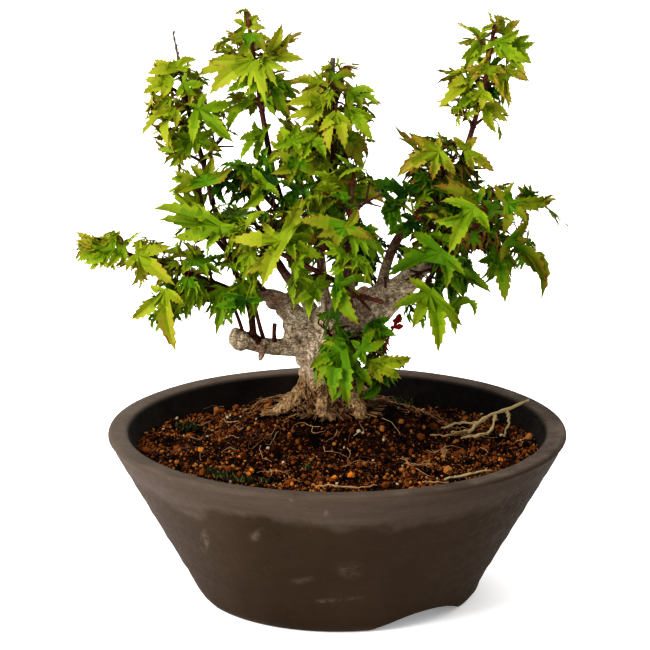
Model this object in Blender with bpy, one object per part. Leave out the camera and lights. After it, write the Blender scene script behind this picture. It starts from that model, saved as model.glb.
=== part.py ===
"""Potted Japanese maple, a shohin bonsai: a round three-footed clay pot, soil, trunk, boughs and leaf masses."""

import math
import random
from typing import NamedTuple

import bmesh
import bpy
import numpy as np
from mathutils import Matrix, Vector
from mathutils.bvhtree import BVHTree

MM = 0.001
GAP = 0.3 * MM  # what neighbouring solids keep between them

# The pot's axis, set so that the pot and the crown together are centred on the origin.
POT_X = 4.6 * MM

# Pot: a cone on a rounded heel, with a flat lip and three feet between arches.
POT_SIDES = 32
POT_HEIGHT = 55 * MM
RIM_R = 75 * MM
LIP_WIDTH = 7 * MM
LIP_ROUND = 1.4 * MM
LIP_CHAMFER = 0.8 * MM
HEEL_R = 48 * MM
HEEL_Z = 6 * MM
FOOT_R = 44 * MM
FOOT_WIDTH = 6.5 * MM
WALL = 6.2 * MM
FLOOR_Z = 12 * MM
UNDERSIDE_Z = 8.3 * MM
DRAIN_R = 6 * MM
ARCHES = 3
FIRST_ARCH_DEG = 37.5  # from the front, towards +X
ARCH_HEIGHT = 5.4 * MM
ARCH_R = 36 * MM
ARCH_SIDES = 60

# Soil: a bed that rises to the front, with a flat-topped mound under the trunk.
SOIL_Z = 50.3 * MM
SOIL_FALL = 0.06  # drop per unit of +Y
MOUND_Z = 58.5 * MM
MOUND_CENTRE = (-3 * MM, 12 * MM)
MOUND_FLAT_R = 19 * MM
MOUND_FOOT_R = 42 * MM
SOIL_RING_SHARES = (0, 0.25, 0.45, 0.65, 0.85, 1)  # from the mound's flat top out to the wall
LUMP_HEIGHT = 1.3 * MM
LUMP_SPACING = 16 * MM
SOIL_SET_IN = 1.5 * GAP
SOIL_HEEL = 4.5 * MM  # how high above the floor the soil's side turns in
SOIL_HEEL_IN = 2.6 * MM
FLOOR_ROUND = (2 * MM, 4 * MM)  # how far in and up the corner of the pot's floor runs

# Trunk: a leaning taper whose foot flares into root ridges.
TRUNK_SIDES = 11
TRUNK_CUT_Z = MOUND_Z + GAP
FLARE_HEIGHT = 13 * MM
ROOT_RIDGES = (  # direction in degrees from +X, how far it stands out, and its angular width
    (205, 8.0 * MM, 24),
    (262, 2.5 * MM, 22),
    (318, 4.5 * MM, 24),
    (20, 5.0 * MM, 28),
    (80, 4.5 * MM, 26),
    (140, 5.5 * MM, 26),
)
STUB_POINTS = ((11, 3.5, 94), (7.4, 1.2, 100))  # where a bough was cut away
STUB_RADII = (3.6 * MM, 2.9 * MM)
STUB_SIDES = 10
BOUGH_SIDES = 5

# Leaves and twigs.
TWIG_SIDES = 3
TWIG_R = 1.0 * MM  # of a mass's stem at its foot
TWIG_TAPER = 0.75
INTERLOCK = 0.3  # how far into the next mass's space a leaf may stand, for each unit of reach
JOINT_SHARE = 0.67  # the space between a stem's joints, for each unit of leaf length
SIDE_TWIG_SHARE = 0.62
PETIOLE_R = 0.27 * MM
LEAF_THICKNESS = 0.7 * MM
LEAF_LOBES = ((0, 1.0), (42, 0.9), (88, 0.64))  # degrees from the midrib, and length
LEAF_NOTCHES = ((21, 0.46), (65, 0.42))
LEAF_MIDDLE = 0.16  # where the blade is thickest, from its base, for each unit of length
TIP_SUNK = 0.8 * MM  # how far back from a twig's end its last leaves are rooted
PETIOLE_SHARE = 0.34  # its length, for each unit of the blade's
LEAF_ARCH = 0.3  # how far the tips hang below the middle of the blade, for each unit of length
LEAF_WOBBLE = 0.25
LEAF_LIFT = 0.15  # how far a petiole rises, for each unit it runs out
LEAF_DROOP = (0.8, 0.8)  # how steeply a blade turns down, and how much steeper where its mass hangs
LEAF_SCALES = (1, 0.8)
LEAF_SPREAD = (0.85, 1.1)
LEAF_AHEAD = 0.45  # how far a leaf leans along its twig
LEAF_TURNS = (0, 0.45, -0.45, 0.9, -0.9, 1.35, -1.35)  # tried in this order, in radians
TOP_LEAF_SHARE = 0.25  # how much smaller the leaves are at the tip of a stem
LAST_LEAVES = 3
SIDE_TWIG_RUN = (0.3, 0.5)  # the length of a side twig, for each unit of reach
SIDE_TWIG_AHEAD = 0.6
SIDE_TWIG_RISE = (0.05, 0.12)  # at its middle and its end, for each unit of its length
SIDE_LEAF_SHARE = 0.9
ROLL_WOBBLE = 0.2
LIMB_CLEAR = 1.2 * MM  # what twigs and leaves keep from every limb
SOIL_CLEAR = 1.5 * MM
SEED = 41


class Limb(NamedTuple):
    """One tapering limb. Points are in millimetres from the pot's axis at the table, x, y, z."""

    parent: str
    points: tuple
    radii: tuple


class Mass(NamedTuple):
    """One mass of leaves: a stem from a place on its limb, the reach of its space, and its leaves."""

    limb: str
    start: float  # share of the limb's length
    points: tuple
    reach: float
    leaf: float
    bare: float  # share of the stem before the first leaves
    hang: float  # how far the leaves turn down
    dead_end: float = 1.0  # share of the stem where the leaves stop


LIMBS = {
    "trunk": Limb(
        "",
        ((-3, 13, 58.8), (-3.3, 10, 67), (-3.4, 8, 74.7), (-2, 6.5, 82), (3, 5.2, 88.5),
         (11.5, 3.6, 94.3), (19, 2.3, 100), (25.5, 1, 106.2)),
        (10.2, 8.8, 7.9, 9.0, 8.8, 6.8, 4.6, 3.2),
    ),
    "bough_left_low": Limb(
        "trunk",
        ((-3, 6.5, 81.5), (-14, 5, 80.6), (-24, 2, 82), (-34, -3, 86.6)),
        (3.6, 3.1, 2.6, 3.0),
    ),
    "bough_left_high": Limb(
        "trunk",
        ((0, 5.5, 86), (-8.5, 4.6, 87.2), (-14, 3.6, 91.5), (-18, 2.4, 96.5),
         (-23, -0.4, 99.5), (-28.5, -3.4, 99.5)),
        (4.8, 4.6, 4.0, 3.2, 2.2, 1.3),
    ),
    "bough_left_upright": Limb(
        "bough_left_high",
        ((-15.8, 3.2, 94.4), (-13.6, 5, 104), (-15, 6, 118), (-21, 6, 140)),
        (2.0, 1.6, 1.2, 0.8),
    ),
    "bough_left_tall": Limb(
        "bough_left_low",
        ((-27, 0.6, 83.6), (-28.6, 0, 96), (-35, 2.4, 112), (-40, 5, 128)),
        (1.3, 1.1, 1.0, 0.8),
    ),
    "bough_centre": Limb(
        "trunk",
        ((-1, 7, 85), (-4, 8.6, 97), (-5.2, 10, 112), (-2.1, 6, 136)),
        (2.6, 2.0, 1.4, 0.8),
    ),
    "bough_front": Limb(
        "trunk",
        ((6, 5, 89), (4, -7, 97), (3, -16, 104), (2, -23, 110)),
        (2.4, 1.8, 1.4, 1.1),
    ),
    "bough_right": Limb(
        "trunk",
        ((24, 1.2, 104.8), (30.8, 0, 110.5), (35.5, -2, 115.5), (39, -4, 120.5)),
        (2.3, 2.0, 1.5, 1.1),
    ),
    "bough_right_inner": Limb(
        "trunk",
        ((13, 3.6, 95), (17, 7, 111), (24, 9, 122), (39, 7, 139)),
        (2.2, 1.6, 1.3, 0.8),
    ),
    "bough_back_left": Limb(
        "trunk",
        ((-4, 7, 84), (-10, 17, 93), (-17, 25, 100), (-22, 31, 107)),
        (2.8, 2.1, 1.6, 1.1),
    ),
    "bough_back": Limb(
        "trunk",
        ((3, 6, 89), (4, 17, 98), (5, 26, 107), (5, 31, 115)),
        (2.6, 2.0, 1.5, 1.1),
    ),
    "bough_back_right": Limb(
        "trunk",
        ((17, 2.8, 98), (22, 12, 103), (28, 21, 108), (33, 27, 115)),
        (2.2, 1.8, 1.4, 1.1),
    ),
}

MASSES = {
    "foliage_first_top": Mass(
        "bough_left_tall", 1.0, ((-43, 7, 141), (-47.5, 9, 157), (-52.6, 12, 183)), 18, 14.5, 0.2, 0.1, 0.78
    ),
    "foliage_second_top": Mass(
        "bough_left_upright", 1.0, ((-24, 7, 157), (-26.5, 8, 174), (-28.8, 9, 190)), 20, 16.5, 0.3, 0.1
    ),
    "foliage_centre_top": Mass(
        "bough_centre", 1.0, ((-1, 4.6, 149), (-1, 3, 162), (-1.6, 2, 173)), 21, 16, 0.0, 0.2
    ),
    "foliage_right_top": Mass(
        "bough_right_inner", 1.0, ((43, 6, 152), (47, 6, 168), (50, 6, 187)), 17, 14, 0.25, 0.05
    ),
    "foliage_right_shoulder": Mass(
        "bough_right_inner", 0.84, ((34, 2, 140), (33, -4, 148)), 20, 18, 0.15, 0.3
    ),
    "foliage_left_tip": Mass(
        "bough_left_high", 1.0, ((-42, -6, 106), (-60, -9, 113), (-79, -9, 119)), 14, 12.5, 0.2, 0.15
    ),
    "foliage_left_low": Mass(
        "bough_left_high", 0.9, ((-36, -9, 104), (-48, -14, 104), (-56.5, -16, 101.5)), 20, 19, 0.1, 0.8
    ),
    "foliage_left_middle": Mass(
        "bough_left_high", 0.79, ((-29, -5, 108), (-40, -8, 122), (-45, -8, 139)), 22, 19, 0.15, 0.4
    ),
    "foliage_inner_left": Mass(
        "bough_left_upright", 0.66, ((-22, -1, 131), (-30, -6, 143)), 20, 18, 0.1, 0.4
    ),
    "foliage_centre_left": Mass(
        "bough_centre", 0.75, ((-8, 3, 136), (-13, 1, 151)), 19, 17, 0.1, 0.3
    ),
    "foliage_left_front": Mass(
        "bough_front", 0.88, ((-8, -24, 114), (-20, -24, 120), (-30, -21, 124)), 23, 21, 0.15, 0.7
    ),
    "foliage_centre_front": Mass(
        "bough_front", 1.0, ((3, -27, 122), (4, -25, 134), (5, -21, 144)), 22, 19, 0.05, 0.5
    ),
    "foliage_centre_low": Mass(
        "bough_front", 0.74, ((8, -24, 105), (14, -31, 105)), 20, 19, 0.1, 0.9
    ),
    "foliage_front_low": Mass(
        "trunk", 0.47, ((-1, -6, 85), (-2, -16, 84), (-1, -23, 82)), 20, 19, 0.3, 0.9
    ),
    "foliage_side_low": Mass(
        "trunk", 0.56, ((10, -7, 85), (14.5, -14, 83), (17.5, -18, 81.5)), 16, 15, 0.3, 0.7
    ),
    "foliage_right_low": Mass(
        "bough_right", 0.5, ((30, -9, 108), (27, -15, 105), (25, -19, 102)), 20, 20, 0.1, 1.0
    ),
    "foliage_right_inner": Mass(
        "bough_right", 0.84, ((31, -10, 124), (24, -16, 130)), 20, 18, 0.1, 0.5
    ),
    "foliage_right_outer": Mass(
        "bough_right", 1.0, ((46, -9, 125), (55, -11, 130), (61, -11, 133)), 21, 18, 0.1, 0.6
    ),
    "foliage_right_drop": Mass(
        "bough_right", 0.67, ((48, 2, 117), (55, 2, 117.5), (60, 1, 116)), 19, 17, 0.1, 0.7
    ),
    "foliage_back_left_low": Mass(
        "bough_back_left", 1.0, ((-32, 36, 110), (-41, 38, 109)), 22, 19, 0.0, 0.8
    ),
    "foliage_back_left_high": Mass(
        "bough_back_left", 0.9, ((-24, 27, 118), (-30, 26, 129)), 21, 18, 0.1, 0.5
    ),
    "foliage_back_high": Mass(
        "bough_back", 1.0, ((5, 32, 127), (3, 29, 139)), 21, 18, 0.0, 0.5
    ),
    "foliage_back_low": Mass(
        "bough_back", 0.86, ((7, 38, 107), (6, 46, 104)), 22, 19, 0.0, 0.9
    ),
    "foliage_back_right_high": Mass(
        "bough_back_right", 1.0, ((36, 28, 124), (37, 26, 132)), 20, 17, 0.0, 0.5
    ),
    "foliage_back_right_low": Mass(
        "bough_back_right", 0.86, ((41, 30, 108), (50, 31, 108)), 22, 19, 0.1, 0.9
    ),
}


# Paths


def from_pot(point):
    """A point given in millimetres from the pot's axis, in the scene."""
    return Vector((point[0] * MM + POT_X, point[1] * MM, point[2] * MM))


def smooth_path(points, steps):
    """A Catmull-Rom path through the points, with this many steps a span."""
    ends = [points[0] * 2 - points[1], *points, points[-1] * 2 - points[-2]]
    path = []
    for a, b, c, d in zip(ends, ends[1:], ends[2:], ends[3:]):
        for i in range(steps):
            t = i / steps
            path.append(0.5 * (2 * b + (c - a) * t + (2 * a - 5 * b + 4 * c - d) * t**2
                               + (3 * b - a - 3 * c + d) * t**3))
    return [*path, points[-1].copy()]


def along(path, share):
    """The place and the direction at a share of the path's length."""
    lengths = [(b - a).length for a, b in zip(path, path[1:])]
    left = share * sum(lengths)
    for a, b, length in zip(path, path[1:], lengths):
        if left <= length or b is path[-1]:
            return a.lerp(b, min(left / length, 1)), (b - a).normalized()
        left -= length


def across(direction, lean=Vector((0, 0, 1))):
    """Two unit vectors at right angles to a direction, the second as near as can be to the lean."""
    if abs(direction.dot(lean)) > 0.95:
        lean = Vector((1, 0, 0))
    side = direction.cross(lean).normalized()
    return side, side.cross(direction).normalized()


def spread(values, count):
    """Values at even steps turned into this many, also even."""
    return list(np.interp(np.linspace(0, 1, count), np.linspace(0, 1, len(values)), values))


# Meshes


def ring_mesh(rings, tip=None):
    """A closed mesh of rings joined in turn, with its ends filled, or the last ring drawn to a tip."""
    sides = len(rings[0])
    points = [p for ring in rings for p in ring]
    faces = [tuple(reversed(range(sides)))]
    for i in range(len(rings) - 1):
        for j in range(sides):
            k = (j + 1) % sides
            faces.append((i * sides + j, i * sides + k, (i + 1) * sides + k, (i + 1) * sides + j))
    last = (len(rings) - 1) * sides
    if tip is None:
        faces.append(tuple(range(last, last + sides)))
    else:
        points.append(tip)
        faces += [(last + j, last + (j + 1) % sides, len(points) - 1) for j in range(sides)]
    return points, faces


def tube(path, radii, sides, extra=0.0):
    """A tube along a path, whose frame is carried from ring to ring. Extra widens and lengthens it."""
    radii = spread(radii, len(path))
    tangents = [(b - a).normalized() for a, b in zip(path, path[1:])]
    tangents = [tangents[0], *((a + b).normalized() for a, b in zip(tangents, tangents[1:])), tangents[-1]]
    side, _ = across(tangents[0])
    rings = []
    for centre, tangent, radius in zip(path, tangents, radii):
        side = (side - tangent * side.dot(tangent)).normalized()
        up = tangent.cross(side)
        turns = (math.tau * j / sides for j in range(sides))
        rings.append([centre + (side * math.cos(a) + up * math.sin(a)) * (radius + extra) for a in turns])
    if extra:
        rings[0] = [p - tangents[0] * extra for p in rings[0]]
        rings[-1] = [p + tangents[-1] * extra for p in rings[-1]]
    return ring_mesh(rings)


def blade_rim(size):
    """The outline of a five-lobed blade, its midrib along +X, from the right-hand back lobe to the left."""
    half = [(LEAF_LOBES[2], LEAF_NOTCHES[1]), (LEAF_LOBES[1], LEAF_NOTCHES[0])]
    right = [(-degrees, r) for pair in half for degrees, r in pair]
    rim = []
    for degrees, r in [*right, LEAF_LOBES[0], *((-degrees, r) for degrees, r in reversed(right))]:
        x = r * math.cos(math.radians(degrees))
        y = r * math.sin(math.radians(degrees))
        rim.append(Vector((x, y, -LEAF_ARCH * r * r)) * size)
    return rim


def leaf_shape(size, turn, base, root, thickness=LEAF_THICKNESS, stalk_r=PETIOLE_R):
    """A blade whose tips hang, and whose back draws into a three-sided stalk that ends at the root."""
    rim = [base + turn @ p for p in blade_rim(size)]
    middle = base + turn @ Vector((LEAF_MIDDLE * size, 0, 0))
    thick = turn @ Vector((0, 0, thickness / 2))
    rise = (base - root).normalized()
    side = turn @ Vector((0, 1, 0))
    side = (side - rise * side.dot(rise)).normalized()
    stalk = [base + side * stalk_r, base - side * stalk_r, base + side.cross(rise) * 1.5 * stalk_r]
    points = [*rim, middle + thick, middle - thick, *stalk, *(p - base + root for p in stalk)]
    last = len(rim) - 1
    top, bottom = last + 1, last + 2
    left, right, low = range(bottom + 1, bottom + 4)
    faces = []
    for i in range(last):
        faces += [(i, i + 1, top), (i + 1, i, bottom)]
    faces += [(last, left, top), (left, right, top), (right, 0, top)]
    faces += [(left, last, bottom), (low, left, bottom), (right, low, bottom), (0, right, bottom)]
    for a, b in ((left, low), (low, right), (right, left)):
        faces += [(a, b, b + 3), (a, b + 3, a + 3)]
    faces.append((left + 3, low + 3, right + 3))
    return points, faces


def new_object(name, shape, material=None):
    mesh = bpy.data.meshes.new(name)
    mesh.from_pydata([tuple(p) for p in shape[0]], [], shape[1])
    mesh.validate()
    if material:
        mesh.materials.append(material)
    made = bpy.data.objects.new(name, mesh)
    bpy.context.scene.collection.objects.link(made)
    return made


def make_material(name, colour, roughness):
    material = bpy.data.materials.new(name)
    material.use_nodes = True
    shader = material.node_tree.nodes["Principled BSDF"]
    shader.inputs["Base Color"].default_value = (*colour, 1)
    shader.inputs["Roughness"].default_value = roughness
    return material


def cut(piece, cutter):
    """Cuts a piece with a modifier, and keeps the cutter out of the render."""
    cutter.hide_render = True
    cutter.display_type = "WIRE"
    modifier = piece.modifiers.new("Cut " + cutter.name, "BOOLEAN")
    modifier.operation = "DIFFERENCE"
    modifier.object = cutter


def shade_round(piece, degrees=40):
    piece.data.shade_smooth()
    piece.data.set_sharp_from_angle(angle=math.radians(degrees))


# Pot and soil


def turned(profile, sides, centre):
    """A closed profile of (radius, height) turned about an upright axis."""
    points = []
    for radius, height in profile:
        for j in range(sides):
            a = math.tau * j / sides
            points.append(centre + Vector((radius * math.cos(a), radius * math.sin(a), height)))
    faces = []
    for i in range(len(profile)):
        n = (i + 1) % len(profile)
        for j in range(sides):
            k = (j + 1) % sides
            faces.append((i * sides + j, i * sides + k, n * sides + k, n * sides + j))
    return points, faces


def wall_radius(z):
    """The radius of the pot's conical outside at a height."""
    return HEEL_R + (RIM_R - HEEL_R) * (z - HEEL_Z) / (POT_HEIGHT - LIP_ROUND - HEEL_Z)


def inside_radius(z):
    """The radius of the pot's inside at a height, between the floor and the lip."""
    low = wall_radius(FLOOR_Z) - WALL
    share = (z - FLOOR_Z) / (POT_HEIGHT - LIP_CHAMFER - FLOOR_Z)
    return low + (RIM_R - LIP_WIDTH - low) * share


def pot_profile():
    lip_inside = RIM_R - LIP_WIDTH
    outside = [
        (FOOT_R, 0),
        (FOOT_R + 0.33 * (HEEL_R - FOOT_R), 0.1 * HEEL_Z),
        (FOOT_R + 0.72 * (HEEL_R - FOOT_R), 0.45 * HEEL_Z),
        (HEEL_R, HEEL_Z),
        (RIM_R, POT_HEIGHT - LIP_ROUND),
        (RIM_R - 0.35 * LIP_ROUND, POT_HEIGHT - 0.35 * LIP_ROUND),
        (RIM_R - LIP_ROUND, POT_HEIGHT),
    ]
    inside = [
        (lip_inside + LIP_CHAMFER, POT_HEIGHT),
        (lip_inside, POT_HEIGHT - LIP_CHAMFER),
        (inside_radius(FLOOR_Z + FLOOR_ROUND[1]), FLOOR_Z + FLOOR_ROUND[1]),
        (inside_radius(FLOOR_Z) - FLOOR_ROUND[0], FLOOR_Z),
        (DRAIN_R, FLOOR_Z),
    ]
    underside = [
        (DRAIN_R, UNDERSIDE_Z),
        (FOOT_R - FOOT_WIDTH - 1 * MM, UNDERSIDE_Z),
        (FOOT_R - FOOT_WIDTH, UNDERSIDE_Z - 1 * MM),
        (FOOT_R - FOOT_WIDTH, 0),
    ]
    return outside + inside + underside


def arch_cutter(index):
    """A round bar that runs out from under the pot and leaves a low arch between two feet."""
    turn = math.radians(FIRST_ARCH_DEG + index * 360 / ARCHES)
    out = Vector((math.sin(turn), -math.cos(turn), 0))
    side = Vector((math.cos(turn), math.sin(turn), 0))
    centre = Vector((POT_X, 0, ARCH_HEIGHT - ARCH_R))
    turns = (math.tau * j / ARCH_SIDES for j in range(ARCH_SIDES))
    section = [(side * math.cos(a) + Vector((0, 0, math.sin(a)))) * ARCH_R for a in turns]
    rings = [[centre + out * r + p for p in section] for r in (0.5 * FOOT_R, 1.5 * FOOT_R)]
    return new_object(f"arch_cutter_{index}", ring_mesh(rings))


def make_pot():
    clay = make_material("clay", (0.045, 0.034, 0.028), 0.62)
    pot = new_object("pot", turned(pot_profile(), POT_SIDES, Vector((POT_X, 0, 0))), clay)
    for index in range(ARCHES):
        cut(pot, arch_cutter(index))
    shade_round(pot)
    return pot


def soil_height(x, y):
    """The top of the soil, from a place measured from the pot's axis."""
    bed = SOIL_Z - SOIL_FALL * y
    from_mound = math.hypot(x - MOUND_CENTRE[0], y - MOUND_CENTRE[1])
    t = min(max((MOUND_FOOT_R - from_mound) / (MOUND_FOOT_R - MOUND_FLAT_R), 0), 1)
    return bed + (MOUND_Z - bed) * t * t * (3 - 2 * t)


def lump_at(x, y):
    """Low clods that rise and fall across the bed, none on the mound's flat top or at the wall."""
    from_mound = math.hypot(x - MOUND_CENTRE[0], y - MOUND_CENTRE[1])
    from_wall = inside_radius(SOIL_Z) - math.hypot(x, y)
    fade = min(max((from_mound - MOUND_FLAT_R) / LUMP_SPACING, 0), 1) * min(max(from_wall / LUMP_SPACING, 0), 1)
    along, aside = (x + 0.5 * y) / LUMP_SPACING, (y - 0.5 * x) / LUMP_SPACING
    return LUMP_HEIGHT * fade * math.sin(math.tau * along / 2) * math.sin(math.tau * aside / 2)


def make_soil():
    """Rings from the mound's flat top out to the wall, then down inside the pot to a flat bottom."""
    columns = []
    for j in range(POT_SIDES):
        a = math.tau * j / POT_SIDES
        out = Vector((math.cos(a), math.sin(a), 0))
        flat = Vector((*MOUND_CENTRE, 0)) + out * (MOUND_FLAT_R - 1 * MM)
        edge_r = inside_radius(SOIL_Z)
        for _ in range(3):
            edge_r = inside_radius(soil_height(out.x * edge_r, out.y * edge_r)) - SOIL_SET_IN
        edge = out * edge_r
        column = []
        for share in SOIL_RING_SHARES:
            p = flat.lerp(edge, share)
            column.append(Vector((p.x, p.y, soil_height(p.x, p.y) + lump_at(p.x, p.y))))
        low_r = inside_radius(FLOOR_Z + SOIL_HEEL) - SOIL_SET_IN
        column.append(Vector((out.x * low_r, out.y * low_r, FLOOR_Z + SOIL_HEEL)))
        bottom_r = inside_radius(FLOOR_Z) - SOIL_HEEL_IN
        column.append(Vector((out.x * bottom_r, out.y * bottom_r, FLOOR_Z + GAP)))
        columns.append([p + Vector((POT_X, 0, 0)) for p in column])
    rings = [list(ring) for ring in zip(*columns)]
    soil = new_object("soil", ring_mesh(rings[::-1]), make_material("soil", (0.09, 0.045, 0.02), 0.95))
    shade_round(soil)
    return soil


# Trunk and boughs


def limb_path(name):
    return smooth_path([from_pot(p) for p in LIMBS[name].points], 3 if name == "trunk" else 2)


def limb_radii(name):
    return [r * MM for r in LIMBS[name].radii]


def ridge_at(angle):
    """How far the root ridges stand out in a direction, at the foot."""
    total = 0.0
    for degrees, height, width in ROOT_RIDGES:
        off = math.remainder(angle - math.radians(degrees), math.tau)
        total += height * math.exp(-((off / math.radians(width)) ** 2))
    return total


def make_trunk(bark):
    """The trunk's rings lie level at the foot, where the ridges widen them down to the flat cut."""
    path = limb_path("trunk")
    points, faces = tube(path, limb_radii("trunk"), TRUNK_SIDES)
    for i, centre in enumerate(path):
        above = centre.z - TRUNK_CUT_Z
        if above > FLARE_HEIGHT:
            continue
        flare = (1 - above / FLARE_HEIGHT) ** 2
        for j in range(i * TRUNK_SIDES, (i + 1) * TRUNK_SIDES):
            out = points[j] - centre
            out.z = 0
            ridge = ridge_at(math.atan2(out.y, out.x))
            points[j] = centre + out + out.normalized() * flare * ridge
    trunk = new_object("trunk", (points, faces), bark)
    stub = new_object("trunk_stub", tube([from_pot(p) for p in STUB_POINTS], STUB_RADII, STUB_SIDES))
    stub.hide_render = True
    stub.display_type = "WIRE"
    joined = trunk.modifiers.new("Stub of a cut bough", "BOOLEAN")
    joined.operation = "UNION"
    joined.object = stub
    shade_round(trunk, 60)
    return trunk


def clearance_shape(name):
    sides = TRUNK_SIDES if name == "trunk" else BOUGH_SIDES
    return tube(limb_path(name), limb_radii(name), sides, GAP)


def clearance(name):
    """A cutter as wide as a limb and its gap."""
    existing = bpy.data.objects.get(name + "_clearance")
    if existing:
        return existing
    return new_object(name + "_clearance", clearance_shape(name))


def make_boughs(bark):
    for name, limb in LIMBS.items():
        if limb.parent:
            bough = new_object(name, tube(limb_path(name), limb_radii(name), BOUGH_SIDES), bark)
            cut(bough, clearance(limb.parent))
            shade_round(bough, 60)


# Foliage


def stem_of(name):
    mass = MASSES[name]
    start, _ = along(limb_path(mass.limb), mass.start)
    return smooth_path([start, *(from_pot(p) for p in mass.points)], 2)


def stem_shape(name, extra=0.0):
    return tube(stem_of(name), (TWIG_R, TWIG_R * TWIG_TAPER), TWIG_SIDES, extra)


def dense(path, step=1 * MM):
    """The path as an array of places a short step apart."""
    count = max(2, int(sum((b - a).length for a, b in zip(path, path[1:])) / step))
    return np.array([along(path, i / count)[0] for i in range(count + 1)])


class Spaces:
    """Which space each point belongs to: that of the mass whose stem is nearest, for the size of its reach.

    Leaves of neighbours interlock a little where their spaces meet, and never touch.
    """

    def __init__(self):
        self.stems = {name: dense(stem_of(name)) for name in MASSES}
        self.limbs = []
        for name in LIMBS:
            places = dense(limb_path(name))
            self.limbs.append((places, np.array(spread(limb_radii(name), len(places)))))

    @staticmethod
    def distances(points, places):
        return np.linalg.norm(points[:, None] - places[None], axis=2)

    def share(self, points, name):
        return self.distances(points, self.stems[name]).min(axis=1) / (MASSES[name].reach * MM)

    def holds(self, points, name):
        """Whether the mass's own space holds every point, clear of every limb and of the soil."""
        points = np.array(points)
        own = self.share(points, name)
        if own.max() > 1:
            return False
        for other in MASSES:
            if other != name and (self.share(points, other) < own - INTERLOCK).any():
                return False
        for places, radii in self.limbs:
            if (self.distances(points, places) < radii + LIMB_CLEAR).any():
                return False
        return points[:, 2].min() > MOUND_Z + SOIL_CLEAR


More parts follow.
